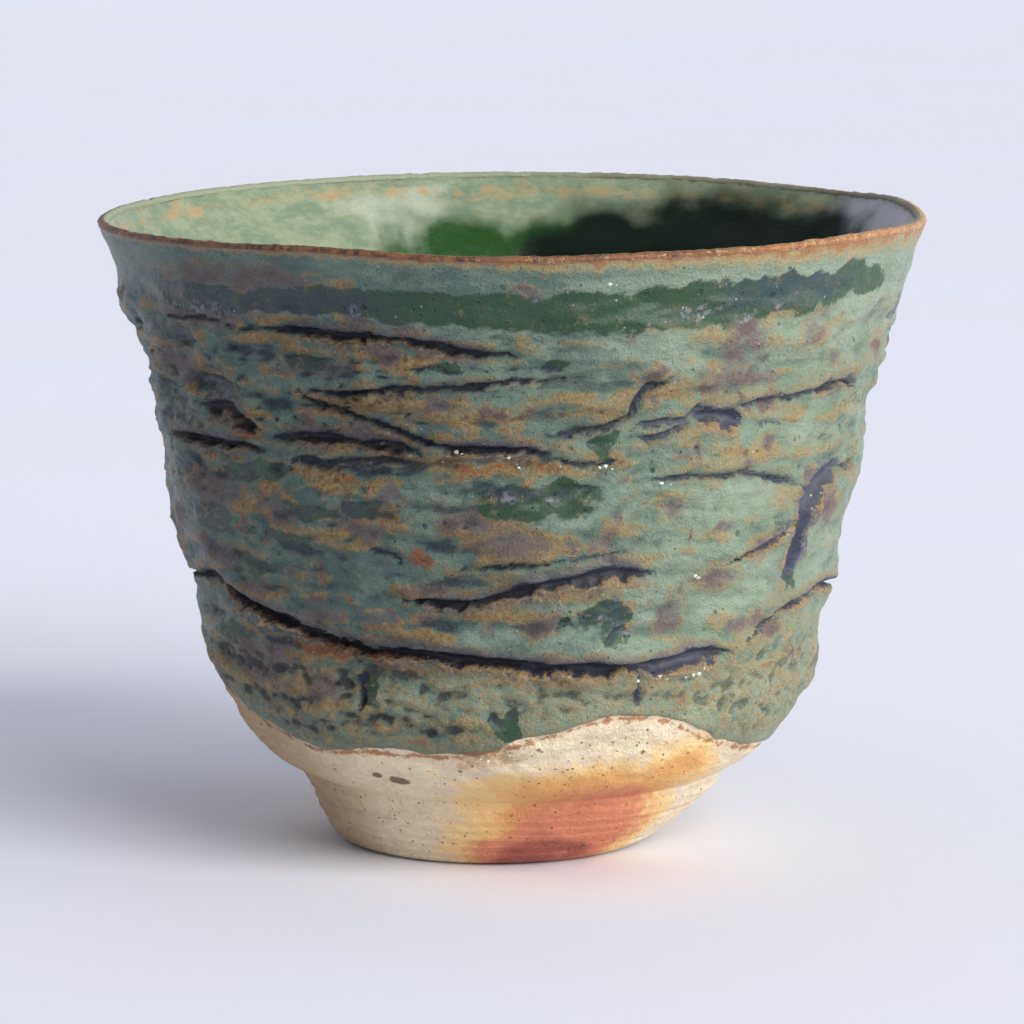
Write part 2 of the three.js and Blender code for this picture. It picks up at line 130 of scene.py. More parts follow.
# Tears in the glaze: their kind, and their course as angles and heights
TEARS = [
    (LEDGE, [
        (-84, 22.4), (-68, 23.6), (-62, 23.8), (-57, 23.0), (-50, 22.3), (-45, 21.5), (-40, 20.9),
        (-30, 20.3), (-20, 19.8), (-10, 19.2), (0, 18.8), (10, 18.5), (30, 18.4), (40, 18.8),
    ]),
    (POCKET, [(22, 18.4), (30, 18.5), (36, 18.8), (42, 19.2)]),
    (POCKET, [(-60, 23.4), (-52, 22.3), (-45, 21.3), (-36, 20.6)]),
    (TEAR, [(46, 19.6), (52, 20.7), (58, 21.7), (65, 22.2), (75, 22.2), (98, 21.2)]),
    (LEDGE, [(108, 20.6), (120, 19.8), (135, 19.6), (155, 20.4), (175, 21.8), (195, 22.8)]),
    (LEDGE, [(206, 22.4), (222, 21.6), (240, 21.5), (256, 22.4), (270, 22.3), (284, 23.0)]),
    (TEAR, [(-18, 24.0), (-8, 23.9), (-2, 24.6), (3, 25.0), (8, 25.7)]),
    (POCKET, [(-1, 24.9), (6, 25.5), (13, 26.0), (24, 26.1)]),
    (CREASE, [(-8, 26.9), (-2, 27.2), (10, 27.7), (18, 28.0)]),
    (CREASE, [(-24, 27.9), (-20, 27.6), (-18, 26.9)]),
    (CRACK, [(-35, 40.1), (-27, 38.9), (-24, 38.2), (-21, 38.0), (-18, 37.4), (-9, 36.6)]),
    (TEAR, [(-12, 36.8), (-5, 36.3), (0, 36.0), (6, 36.2)]),
    (CREASE, [(5, 36.1), (8, 35.6), (17, 35.3)]),
    (POCKET, [(-56, 38.4), (-50, 38.5), (-46, 37.8), (-41, 36.9)]),
    (TEAR, [(-40, 36.6), (-30, 36.5), (-22, 36.4), (-14, 35.9)]),
    (TEAR, [(-68, 35.5), (-53, 35.4), (-48, 35.3), (-43, 35.3)]),
    (CRACK, [(-38, 34.7), (-33, 34.5), (-28, 34.8), (-22, 35.2), (-15, 35.2)]),
    (TEAR, [(-38, 45.4), (-30, 45.3), (-24, 45.2), (-20, 45.5), (-14, 44.9), (-5, 44.5), (1, 44.2)]),
    (CREASE, [(-62, 45.6), (-50, 45.8), (-36, 45.4)]),
    (CRACK, [(-36, 40.2), (-28, 40.3), (-16, 41.1), (-6, 41.6), (4, 41.8), (10, 42.2)]),
    (CRACK, [(25, 42.0), (20, 41.2), (18.5, 40.2), (18, 39.0), (15, 38.3), (10, 37.8), (5, 37.5)]),
    (CRACK, [(18, 38.0), (23, 38.3), (27, 38.2), (29, 39.2), (33, 38.6)]),
    (POCKET, [(28, 38.6), (32, 38.4), (38, 37.8)]),
    (CRACK, [(19, 37.0), (22, 37.1), (25, 37.5), (28, 38.0)]),
    (CRACK, [(35, 38.7), (45, 39.5), (55, 39.9)]),
    (TEAR, [(52, 39.8), (58, 40.0), (64, 39.6), (69, 38.8)]),
    (CREASE, [(40, 37.3), (47, 37.4)]),
    (CRACK, [(21, 33.9), (38, 33.9), (43, 33.3), (48, 32.6), (52, 32.2), (56, 31.5)]),
    (CRACK, [(55, 31.3), (58, 31.8), (62, 32.4), (66, 32.5), (80, 33.0)]),
    (CHANNEL, [(66, 33.4), (59, 31.6), (55.5, 30.2), (55.6, 27.6), (57, 22.8)]),
    (TEAR, [(55, 29.0), (50, 28.0), (45, 27.2), (38, 26.4)]),
    (CRACK, [(-27, 17.8), (-29.5, 16.8), (-28, 15.5), (-29, 14.4)]),
    (CRACK, [(23, 17.8), (22.6, 16.2), (23.6, 14.6)]),
    (CREASE, [(7, 21.5), (9, 22.3), (11, 21.9)]),
    (CREASE, [(16, 20.5), (18, 21.4), (20, 21.5)]),
    (CREASE, [(-15, 42.8), (-10, 42.9), (-6, 42.5)]),
    (CREASE, [(4, 43.1), (8, 43.0)]),
    (TEAR, [(84, 34.6), (96, 35.6), (108, 35.8), (120, 36.9), (132, 36.8), (146, 35.6), (158, 35.2)]),
    (TEAR, [(168, 38.5), (180, 39.4), (192, 39.6), (203, 38.6), (214, 38.4), (232, 39.0)]),
    (TEAR, [(212, 33.6), (224, 34.4), (236, 34.6), (247, 35.4), (256, 35.2), (274, 33.8)]),
    (CRACK, [(100, 27.8), (114, 27.0), (128, 27.0), (142, 28.2), (156, 28.4), (178, 28.0)]),
    (TEAR, [(190, 29.6), (203, 28.4), (216, 27.9), (230, 27.2), (242, 27.6)]),
    (CRACK, [(82, 42.8), (94, 43.7), (106, 43.6), (118, 42.8), (130, 42.6)]),
    (TEAR, [(150, 44.6), (164, 45.4), (178, 45.3), (192, 44.4), (206, 44.6), (226, 44.8)]),
    (CRACK, [(104, 38.4), (114, 39.3), (126, 39.0), (138, 39.8), (150, 39.3)]),
    (CRACK, [(86, 38.0), (96, 37.4), (106, 37.8)]),
    (CRACK, [(160, 36.6), (172, 36.0), (186, 36.4), (198, 35.5)]),
    (CRACK, [(240, 37.2), (252, 37.9), (266, 37.5), (278, 38.2)]),
    (CRACK, [(222, 41.4), (236, 41.9), (250, 41.3), (262, 41.8)]),
    (CRACK, [(132, 33.6), (144, 33.0), (158, 33.4), (170, 32.8)]),
    (CHANNEL, [(176, 34.6), (182, 32.8), (189, 31.6), (198, 31.0)]),
    (CREASE, [(116, 24.4), (128, 24.9), (142, 24.6)]),
    (CREASE, [(204, 25.2), (216, 24.8), (228, 25.4)]),
    (CREASE, [(90, 30.6), (100, 30.9), (112, 30.4)]),
    (CREASE, [(250, 30.8), (262, 30.2), (272, 30.6)]),
    (CRACK, [(126, 17.6), (127.5, 16.2), (126.5, 15.0)]),
    (CRACK, [(196, 18.2), (195, 16.6), (196.5, 15.2)]),
    (CRACK, [(238, 17.4), (239.5, 15.8), (238.5, 14.4)]),
]
TEAR_TAPER = 0.2  # share of a tear's length over which each end closes
LIP_WIDTH = 0.45  # how far a tear's raised lips reach
OVERHANG_REACH = 2.6  # how far the overhang takes to settle back to the wall
OVERHANG_ROUND = 0.8  # distance over which its edge rounds over into the tear
TEAR_BLUR = 0.8  # distance over which the tear mark fades from one to nothing
CRUST_REACH = 0.8  # how far the grey crust beside a tear reaches
EDGE_REACH = 0.5  # how far the broken glaze below a tear reaches
HALO_REACH = 1.1  # how far the glaze darkens towards a tear

# Folds and dents of the coat, as the solid has them: how far they stand out, and how they run
FOLD_HEIGHT, FOLD_SPACING, FOLD_BEND, FOLD_BENDS = 0.2, 9.0, 2.6, 3
DENT_DEPTH, DENT_LEAN, DENTS = 0.2, 26.0, 11

# Curved ridges where the wet skin was dragged: angle, height, radius
SWIRLS = [(50, 15.5, 7.5), (232, 16.0, 6.5), (150, 24.5, 5.0)]
RIDGE_SPACING = 1.25

# Patches of colour on the photographed side: angle, height, half width in degrees, half height
MARKS = {
    "pool": [
        (-9, 47.8, 14, 1.5), (8, 47.6, 15, 1.8), (24, 47.6, 15, 1.9), (39, 48.1, 15, 1.7),
        (54, 48.5, 12, 1.5), (-30, 48.0, 15, 1.2), (-52, 47.6, 16, 1.3), (3, 32.1, 10, 1.5),
        (9, 33.0, 6, 0.9), (14, 36.7, 1.6, 1.7), (16, 22.8, 3.2, 1.3), (-0.5, 14.0, 1.7, 1.4),
        (51, 28.6, 4, 0.9), (58, 25.4, 2.4, 2.6), (-8, 42.9, 3.2, 0.5), (6, 43.1, 2.2, 0.5),
        (0, 24.2, 3, 0.5), (-27, 16.4, 2.2, 1.7), (9, 21.9, 2.4, 0.5), (18, 21.1, 2.2, 0.6),
        (-46, 21.0, 10, 1.0), (-33, 30.8, 5, 0.8), (-60, 44.5, 8, 1.0), (-50, 40.2, 6, 1.1),
        (-63, 37.0, 7, 0.9), (-45, 33.6, 7, 0.7), (-58, 29.2, 7, 1.1), (-38, 28.2, 6, 0.8),
        (-60, 19.4, 7, 1.1), (-30, 43.0, 5, 0.7), (-24, 31.6, 4, 0.6), (-50, 25.6, 6, 0.7),
    ],
    "teal": [
        (44, 48.6, 15, 1.8), (16, 22.8, 3.4, 1.6), (56, 26.5, 5, 3.5), (-40, 48.0, 28, 1.8),
        (-12, 44.5, 12, 1.0), (-28, 32.0, 10, 1.4), (0, 33.0, 6, 1.0), (-44, 27.0, 10, 1.4),
        (-58, 42.0, 14, 4.0), (-60, 32.0, 12, 5.0),
    ],
    "brown": [
        (35, 44.6, 6, 3.2), (47.5, 44.6, 3.6, 2.0), (-0.5, 29.0, 6.5, 1.6), (36.5, 25.2, 4.6, 1.4),
        (28, 22.5, 2.8, 2.3), (26.5, 31.2, 2.2, 1.6), (-22, 47.0, 2.6, 1.1), (8, 29.0, 2.0, 1.2),
        (15, 28.9, 2.0, 1.1), (16.5, 31.0, 1.8, 1.1), (-20, 32.2, 2.6, 1.9), (-12, 32.3, 2.0, 1.2),
        (-39, 30.8, 4, 1.7), (-24, 29.6, 4, 1.7), (-7, 30.7, 5, 1.0), (22.5, 47.2, 2.6, 1.0),
        (28, 47.3, 2.5, 1.1), (42, 47.2, 1.5, 0.8), (-18, 44.0, 3, 0.9), (63, 29.2, 5, 2.0),
        (38, 41.4, 9, 1.1), (5, 22.2, 4, 1.0), (-22, 22.6, 4, 0.9), (44, 21.3, 5, 1.0),
        (-46, 24.0, 6, 0.8), (18, 45.6, 1.5, 1.0), (3, 49.3, 1.8, 1.0), (30.5, 49.2, 1.2, 1.0),
        (-33, 22.6, 4, 0.8), (68, 45.5, 3, 1.5), (52, 20.2, 5, 0.8), (-52, 46.3, 16, 1.4),
        (-40, 49.6, 20, 1.0), (-62, 41.5, 12, 1.8), (-56, 31.5, 10, 2.0), (-52, 17.5, 14, 2.6),
        (-30, 42.6, 9, 1.0), (-60, 26.0, 10, 1.3), (-14, 24.9, 5, 0.7), (-36, 16.0, 5, 1.4),
        (56, 42.6, 4, 1.2),
    ],
    "ochre": [
        (3, 35.0, 17, 0.9), (38, 35.6, 10, 1.1), (47.5, 38.3, 4, 0.9), (-30, 33.6, 8, 0.7),
        (-44, 37.5, 5, 0.8), (-41, 33.0, 5, 0.7), (49, 31.3, 4.5, 1.0), (61, 30.0, 4, 1.6),
        (-20, 39.6, 15, 1.3), (-5, 38.6, 9, 0.9), (-20, 37.0, 9, 0.7), (5, 45.3, 8, 0.8),
        (28, 45.0, 8, 0.8), (-37, 44.3, 5, 1.2), (26, 43.5, 3, 0.6), (33, 39.9, 5, 0.8),
        (12, 39.0, 6, 0.8), (12, 41.3, 5, 0.7), (47, 43.9, 5, 1.0), (-8, 25.6, 9, 0.9),
        (7, 24.3, 12, 1.0), (-3, 22.6, 9, 1.2), (-45, 30.5, 6, 1.6), (43, 29.2, 3.5, 0.8),
        (-15, 21.6, 9, 1.0), (50, 17.0, 8, 1.6), (34, 16.4, 5, 1.5), (66, 38.0, 5, 0.9),
        (-30, 13.4, 7, 1.2), (62, 19.6, 8, 0.9), (-30, 28.6, 8, 0.9), (-38, 25.4, 7, 0.8),
        (-20, 30.4, 6, 1.0), (18, 30.0, 5, 1.3), (0, 29.2, 9, 2.0), (38, 21.6, 4, 0.9),
        (-22, 12.6, 6, 0.9), (-14, 43.4, 7, 1.0), (40, 46.3, 5, 0.7), (52, 23.0, 5, 0.9),
        (-40, 15.6, 10, 1.8), (-16, 17.4, 9, 0.8), (10, 17.0, 9, 0.8), (36, 16.4, 7, 1.8),
        (58, 15.0, 9, 2.6), (-6, 13.6, 9, 0.8), (16, 15.6, 5, 0.7), (-56, 15.0, 8, 1.4),
        (46, 13.2, 7, 1.0), (-26, 14.6, 4, 0.8),
    ],
    "grains": [
        (0, 35.0, 18, 0.8), (-10, 35.3, 8, 0.6), (38, 35.4, 9, 0.7), (-30, 33.8, 8, 0.6),
        (-37, 19.4, 11, 0.7), (-15, 18.5, 10, 0.4), (5, 17.6, 10, 0.4), (-5, 39.0, 10, 0.7),
        (12, 39.2, 7, 0.6), (9, 24.3, 10, 0.6), (20, 25.0, 5, 0.5), (48, 38.0, 5, 0.6),
        (60, 30.0, 3, 2.0), (-22, 39.4, 9, 0.6), (-20, 44.0, 12, 0.5), (24, 40.2, 9, 0.5),
        (-47, 37.0, 5, 0.5), (-50, 34.6, 7, 0.4), (110, 35.0, 16, 0.6), (186, 38.4, 18, 0.6),
        (240, 34.0, 16, 0.6), (150, 19.6, 20, 0.6), (228, 20.6, 16, 0.6),
    ],
    "rust": [
        (-17, 27.3, 2.1, 1.1), (-38, 27.4, 2.6, 0.6), (-49, 28.0, 2.6, 0.6), (-45, 12.8, 2.6, 0.9),
        (-36, 33.8, 2.2, 0.4), (-26, 33.8, 1.5, 0.4), (-37, 19.3, 10, 0.55), (-24, 18.6, 4, 0.4),
        (25.5, 27.8, 1.4, 0.5), (-46, 36.2, 4, 0.4), (2, 36.9, 5, 0.4), (-14, 36.6, 4, 0.5),
        (-4, 35.2, 9, 0.4), (8, 35.0, 6, 0.35), (-9, 11.8, 3.5, 0.5), (35, 40.0, 2, 0.4),
        (-40, 12.8, 7, 0.6), (-53, 14.2, 6, 0.8), (-20, 12.6, 7, 0.5), (30, 15.4, 4, 0.6),
        (-26, 19.4, 3, 0.3),
    ],
    "sage": [
        (18, 44.5, 18, 2.0), (36, 31.6, 15, 2.6), (49, 43.8, 13, 2.4), (-13, 33.0, 10, 1.1),
        (30, 27.6, 9, 2.2), (23, 24.5, 6, 3.6), (9, 31.0, 11, 1.2), (46, 25.0, 11, 2.8),
        (-8, 15.8, 19, 1.9), (13, 15.8, 10, 1.6), (47, 15.0, 12, 3.2), (50, 36.5, 8, 1.3),
        (-5, 46.0, 14, 0.9), (40, 22.6, 9, 1.6), (62, 46.0, 12, 3.0), (30, 50.0, 30, 0.7),
        (-15, 50.0, 14, 0.6), (64, 25.5, 9, 2.6), (14, 26.9, 6, 0.7), (20, 33.0, 8, 1.0),
        (50, 50.0, 26, 1.0), (20, 20.2, 12, 1.2), (-20, 15.8, 16, 1.8), (-2, 20.8, 14, 0.9),
    ],
}

# Patches scattered over the sides and back: how many, their heights, half widths and half heights
BACK_MARKS = {
    "pool": (30, (14, 49), (2, 8), (0.6, 1.5)),
    "teal": (18, (14, 49), (4, 12), (1.0, 2.2)),
    "brown": (80, (13, 49), (1.6, 6), (0.8, 2.2)),
    "ochre": (84, (14, 47), (3, 12), (0.6, 1.4)),
    "rust": (30, (12, 42), (1.4, 5), (0.4, 0.9)),
    "sage": (34, (14, 50), (6, 16), (1.2, 2.8)),
}
BACK_FROM, BACK_TO = 72, 290  # angles between which the scattered patches lie

# Small spots scattered over the photographed side, in the same order
FRONT_SPOTS = {
    "brown": (90, (14, 48), (0.8, 2.4), (0.4, 1.0)),
    "ochre": (70, (14, 47), (2, 7), (0.35, 0.8)),
    "rust": (40, (13, 46), (0.6, 1.6), (0.25, 0.5)),
}
MARK_SEED = 11

# White quartz grits on the photographed side: angle, height and size
GRITS = [
    (-8.4, 36.2, 0.42), (-7.6, 36.0, 0.3), (-0.5, 35.8, 0.3), (13.4, 34.9, 0.3), (14.4, 35.0, 0.42),
    (15.4, 34.8, 0.34), (16.6, 34.9, 0.4), (26.2, 37.1, 0.42), (27.2, 37.3, 0.34), (28.4, 37.1, 0.3),
    (31.8, 25.6, 0.5), (32.6, 25.4, 0.42), (19.6, 17.5, 0.42), (20.6, 17.3, 0.34), (23, 17.2, 0.4),
    (27.4, 17.4, 0.6), (28.6, 17.3, 0.66), (29.8, 17.5, 0.5), (32.8, 17.2, 0.36), (34.4, 17.3, 0.5),
    (35.8, 17.3, 0.48), (36.8, 17.7, 0.3), (13, 49.9, 0.42), (13.9, 49.8, 0.3), (23.6, 33.4, 0.42),
    (25.2, 33.3, 0.3), (27.6, 33.4, 0.3), (1, 35.0, 0.26), (-0.6, 11.2, 0.3), (-4.8, 10.7, 0.32),
    (-6.2, 10.9, 0.26),
]
BACK_GRITS = 26  # further grits beside the tears of the back
GRIT_SEED = 5

# Heat flash and stones of the bare clay: angle, height, half width in degrees, half height
FLASHES = {
    "flash": [
        (17, 2.4, 33, 7.0), (20, 7.4, 30, 2.2), (38, 9.2, 11, 1.6), (196, 3.0, 30, 6.4),
        (214, 8.4, 16, 1.6),
    ],
    "red": [(22, 2.8, 25, 5.0), (10, 1.2, 22, 2.6), (200, 2.4, 20, 4.2)],
    "maroon": [(9, 0.9, 13, 2.0), (23, 1.4, 12, 1.0), (202, 0.8, 10, 1.2)],
    "stone": [
        (-25.5, 8.3, 3.0, 0.5), (-30.5, 8.6, 1.4, 0.35), (152, 9.2, 2.4, 0.5), (252, 8.4, 2.2, 0.45),
    ],
}

# Deep green parts, painted shade, greyed parts and a painted glare on the glaze inside, in the same order
LINER_MARKS = {
    "emerald": [
        (189, 46.2, 15, 4.0), (173, 46.0, 16, 4.2), (170, 47.2, 12, 2.4), (20, 42, 60, 5),
        (-70, 40, 40, 5), (262, 40, 50, 5),
    ],
    "dark": [(140, 47.2, 28, 4.6), (122, 47.4, 18, 4.4), (162, 45.6, 18, 4.6), (80, 43.0, 30, 4.0)],
    "grey": [(102, 50.0, 22, 3.4), (82, 50.0, 16, 2.4)],
    "smear": [(200, 50.0, 14, 1.5), (200, 48.0, 3.5, 3.4), (-30, 47, 8, 3)],
}


# Helpers for numbers


def smooth(value, low, high):
    """0 below low, 1 above high, and smooth between."""
    share = np.clip((value - low) / (high - low), 0, 1)
    return share * share * (3 - 2 * share)


def smooth_line(points, period=None):
    """A smooth curve through places and values, repeated round a period where one is given."""
    places, values = np.array(points, float).T
    if period:
        places = np.concatenate([places - period, places, places + period])
        values = np.tile(values, 3)
    slopes = np.gradient(values, places)

    def curve(at):
        left = np.clip(np.searchsorted(places, at) - 1, 0, len(places) - 2)
        width = places[left + 1] - places[left]
        share = np.clip((at - places[left]) / width, 0, 1)
        blend = share * share * (3 - 2 * share)
        rise = share * (1 - share) * width
        lift = slopes[left] * (1 - share) - slopes[left + 1] * share
        return values[left] * (1 - blend) + values[left + 1] * blend + rise * lift

    return curve


def wrapped(angle, middle=0):
    """Angles brought within half a turn of a middle."""
    return (angle - middle + 180) % 360 - 180 + middle


def grain(points, size, stretch=1, octaves=4, seed=0):
    """Fractal noise round zero with grains of a size in mm, drawn out round the cup by a stretch."""
    scaled = points.reshape(-1, 3) * np.array([1, 1, stretch]) / size + 31.7 * seed
    values = [noise.fractal(Vector(place), 0.9, 2.1, octaves) for place in scaled]
    return np.array(values).reshape(points.shape[:-1])


def blurred(field, reach):
    """A field on rows and columns, averaged over a reach of cells each way; columns wrap round."""
    extended = np.pad(field, ((reach, reach), (0, 0)), mode="edge")
    rows = sum(extended[shift:shift + len(field)] for shift in range(2 * reach + 1))
    both = sum(np.roll(rows, shift, axis=1) for shift in range(-reach, reach + 1))
    return both / (2 * reach + 1) ** 2


def marked(angle, height, marks):
    """How strongly patches cover each place of the wall, from 0 to 1."""
    cover = np.zeros_like(height)
    for middle, level, half_width, half_height in marks:
        across = (wrapped(angle, middle) - middle) / half_width
        up = (height - level) / half_height
        cover = np.maximum(cover, np.clip((1.25 - np.hypot(across, up)) / 0.9, 0, 1))
    return cover


def padded(marks, before, after):
    """Marks with blank rows before and after them, for the hidden parts of a mesh."""
    return {name: np.pad(field, ((before, after), (0, 0))) for name, field in marks.items()}


# Shape of the cup

FIRED_SIDE = 120  # angle at which the fire burnt the rim brightest
wall_curve = smooth_line(WALL_OUTLINE)
lip_wave = smooth_line(LIP_WAVE, 360)
glaze_edge = smooth_line(GLAZE_EDGE, 360)


def wall_radius(height):
    """Radius of the wall's outline at a height."""
    return LIP_RADIUS / 100 * wall_curve((height - FOOT_TOP) / WALL_HEIGHT * 100)


def on_cup(angle, radius, height):
    """Points at angles, radii and heights, lifted near the lip by its waves."""
    turn = np.radians(angle)
    lift = lip_wave(wrapped(angle)) * smooth(height, NECK, LIP_TOP)
    return np.stack([radius * np.sin(turn), -radius * np.cos(turn), height + lift], -1)


def fired_side(angle):
    """How near an angle is to the fired side, from 0 to 1."""
    return 0.5 + 0.5 * np.cos(np.radians(angle - FIRED_SIDE))


def round_angles(columns):
    """Angles of the columns of a mesh round the cup."""
    return np.linspace(0, 360, columns, endpoint=False)


def turned_mesh(name, rings, marks, poles=False):
    """A closed mesh from rings of points in mm. The last ring joins the first, or both shrink to poles."""
    rows, columns = rings.shape[:2]
    corner = np.array([(0, 0), (0, 1), (1, 1), (1, 0)])
    row_count = rows - 1 if poles else rows
    cells = np.stack(np.meshgrid(np.arange(row_count), np.arange(columns), indexing="ij"), -1)
    corners = cells.reshape(-1, 1, 2) + corner
    faces = corners[..., 0] % rows * columns + corners[..., 1] % columns
    mesh = bpy.data.meshes.new(name)
    mesh.from_pydata((rings.reshape(-1, 3) * MM).tolist(), [], faces.tolist())
    for mark, field in marks.items():
        attribute = mesh.attributes.new(mark, "FLOAT", "POINT")
        attribute.data.foreach_set("value", np.clip(field, 0, 1).astype(np.float32).ravel())
    add_bake_map(mesh, corners, row_count, columns)
    if poles:
        merge_poles(mesh)
    mesh.shade_smooth()
    return mesh


def add_bake_map(mesh, corners, rows, columns):
    """A flat map of the turned surface, cut into four quarters that stand two by two."""
    quarter = columns // 4
    turn = np.clip(corners[:, :1, 1] // quarter, 0, 3)
    across = (corners[..., 1] - turn * quarter) / quarter
    up = corners[..., 0] / rows
    places = np.stack([(turn % 2 + 0.005 + 0.99 * across) / 2, (turn // 2 + 0.005 + 0.99 * up) / 2], -1)
    mesh.uv_layers.new(name="OFBake").data.foreach_set("uv", places.astype(np.float32).ravel())


def merge_poles(mesh):
    """Joins the points of each ring that has shrunk to a pole."""
    work = bmesh.new()
    work.from_mesh(mesh)
    bmesh.ops.remove_doubles(work, verts=work.verts, dist=0.002 * MM)
    work.to_mesh(mesh)
    work.free()


def add_piece(mesh, material, node=None):
    """Puts a mesh in the scene on the cup's body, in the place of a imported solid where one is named."""
    piece = bpy.data.objects.new(mesh.name, mesh)
    bpy.context.scene.collection.objects.link(piece)
    mesh.materials.append(material)
    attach(piece, "root")
    if node:
        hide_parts(node)


# Torn coat of glaze on the outside

COAT_COLUMNS, COAT_ROWS, COAT_BACK_ROWS = 560, 168, 7
COAT_TOP = LIP_TOP - 0.3  # just under the brown lip
COAT_THICKNESS = 1.55
COAT_TOP_THICKNESS = 0.4  # thickness just under the lip
COAT_THINNING = 4  # height below the top over which the coat thins
EDGE_LEVEL = 12.0  # usual height of the lower edge
EDGE_RAGGED = 0.35  # how far the lower edge strays from its line
EDGE_ROUND = 0.75  # height over which the lower edge rounds over into the clay
EDGE_SINK = 0.9  # how far that edge goes below the wall's outline
SHEETS_START, SHEETS_END = (31, 34.5), (42.5, 46)  # heights over which the sheeted skin comes and goes
CRUMBS_END = (17, 21)  # heights over which the crumbly skin above the lower edge ends
CALM_HEIGHT = 7  # height below the top over which the relief dies away
BESIDE = 90  # angle of the cup's two sides, where the relief is low
BESIDE_REACH = 20  # how far round that reaches
THICK_AND_SHADED_SIDE = -75  # angle of the side away from the lamps, where the glaze lies thickest and is darkest, with painted shade
UNROLLED_RADIUS = wall_radius(FOOT_TOP + WALL_HEIGHT / 2)


def tear_distance(angle, height, course):
    """Distance to a tear's course, the share of its length there, and the height above it."""
    corners = np.array(course, float)
    middle = corners[:, 0].mean()
    flat = np.stack([np.radians(wrapped(angle, middle)) * UNROLLED_RADIUS, height], -1)
    corners[:, 0] = np.radians(corners[:, 0]) * UNROLLED_RADIUS
    steps = np.diff(corners, axis=0)
    lengths = np.hypot(*steps.T)
    starts = np.concatenate([[0], np.cumsum(lengths)])
    nearest = np.full(height.shape, np.inf)
    along = np.zeros_like(height)
    above = np.zeros_like(height)
    for corner, step, length, start in zip(corners, steps, lengths, starts):
        offset = flat - corner
        share = np.clip(offset @ step / length**2, 0, 1)
        gap = offset - share[..., None] * step
        distance = np.hypot(gap[..., 0], gap[..., 1])
        closer = distance < nearest
        nearest = np.where(closer, distance, nearest)
        along = np.where(closer, (start + share * length) / starts[-1], along)
        above = np.where(closer, gap[..., 1], above)
    return nearest, along, above


def torn_relief(angle, height, points):
    """How far the tears push the wall in and out, and the marks that they leave."""
    fray = grain(points, 0.9, octaves=3, seed=21)
    wander = grain(points, 5.5, octaves=2, seed=22)
    swell = grain(points, 3.2, stretch=0.8, octaves=2, seed=23)
    across = angle + 0.8 * wander
    level = height + 0.4 * wander + 0.25 * fray
    proud, groove, tear, crust, broken, halo = (np.zeros_like(height) for _ in range(6))
    for kind, course in TEARS:
        distance, along, above = tear_distance(across, level, course)
        closing = smooth(along, -0.03, TEAR_TAPER) * smooth(1 - along, -0.03, TEAR_TAPER)
        uneven = np.clip(1 + 0.9 * swell + 0.6 * fray, 0.2, None)
        half = kind.width / 2 * (0.15 + 0.85 * closing) * uneven
        beyond = np.clip(distance - half, 0, None)
        opening = 1 - smooth(distance, 0.3 * half, half + 0.12)
        rounded = 0.4 + 0.6 * smooth(beyond, 0, OVERHANG_ROUND)
        hang = np.where(above > 0, rounded * np.exp(-beyond / OVERHANG_REACH), 0)
        lips = np.exp(-2 * (beyond / LIP_WIDTH - 0.5) ** 2)
        below = np.where(above > 0, 0.2, 1)
        proud = np.maximum(proud, closing * (kind.overhang * hang + kind.lip * lips * (1 + 2 * fray)))
        groove = np.maximum(groove, kind.depth * opening * (0.4 + 0.6 * closing))
        tear = np.maximum(tear, 0.5 + (half - distance) / TEAR_BLUR)
        strength = closing * min(0.75, kind.width)
        crust = np.maximum(crust, strength * np.exp(-beyond / CRUST_REACH))
        broken = np.maximum(broken, strength * below * np.exp(-beyond / EDGE_REACH))
        halo = np.maximum(halo, closing * min(1, 1.5 * kind.width) * np.exp(-beyond / HALO_REACH))
    relief = proud * (1 - np.clip(groove, 0, 1)) - groove
    return relief, {"tear": tear, "crust": crust, "broken": broken, "halo": halo}


def fingered(angle, height):
    """Folds and dents that the fingers left in the coat, as the solid has them."""
    turn = np.radians(angle)
    bent = height + FOLD_BEND * np.sin(FOLD_BENDS * turn)
    folds = FOLD_HEIGHT * np.sin(2 * math.pi * bent / FOLD_SPACING)
    return folds + DENT_DEPTH * np.sin(DENTS * turn + 2 * math.pi * height / DENT_LEAN)


def terraced(field, steps):
    """A field broken into flat sheets with short rises between them."""
    scaled = field * steps
    level = np.floor(scaled)
    return (level + smooth(scaled - level, 0.1, 0.9)) / steps


def dragged_ridges(angle, height, points):
    """Fine curved ridges in the dragged skin."""
    bend = grain(points, 4.5, octaves=2, seed=24)
    ridges = np.zeros_like(height)
    for middle, level, radius in SWIRLS:
        across = np.radians(wrapped(angle, middle) - middle) * UNROLLED_RADIUS
        distance = np.hypot(across, 0.8 * (height - level)) + 1.8 * bend
        cover = 1 - smooth(distance, 0.45 * radius, radius)
        ridges = ridges + 0.13 * cover * np.sin(2 * math.pi * distance / RIDGE_SPACING)
    return ridges


def scattered_marks():
    """The patches and small spots of the photographed side, with others on the sides and back."""
    chance = np.random.default_rng(MARK_SEED)
    marks = {name: list(patches) for name, patches in MARKS.items()}
    for first, last, spread in ((BACK_FROM, BACK_TO, BACK_MARKS), (BACK_TO - 360, BACK_FROM, FRONT_SPOTS)):
        for name, (count, heights, widths, rises) in spread.items():
            places = zip(
                chance.uniform(first, last, count),
                chance.uniform(*heights, count),
                chance.uniform(*widths, count),
                chance.uniform(*rises, count),
            )
            marks[name].extend(places)
    return marks


def sheeted(height):
    """How far the skin lies in sheets at a height, from 0 to 1."""
    return smooth(height, *SHEETS_START) * (1 - smooth(height, *SHEETS_END))


def crumbly(height):
    """How crumbly the skin is at a height, from 0 to 1."""
    return 1 - smooth(height, *CRUMBS_END)


def thick_and_shaded_share(angle):
    """How thick the glaze lies at an angle, and how much painted shade it takes there, from 0 to 1."""
    return smooth(np.cos(np.radians(angle - THICK_AND_SHADED_SIDE)), -0.5, 0.7)


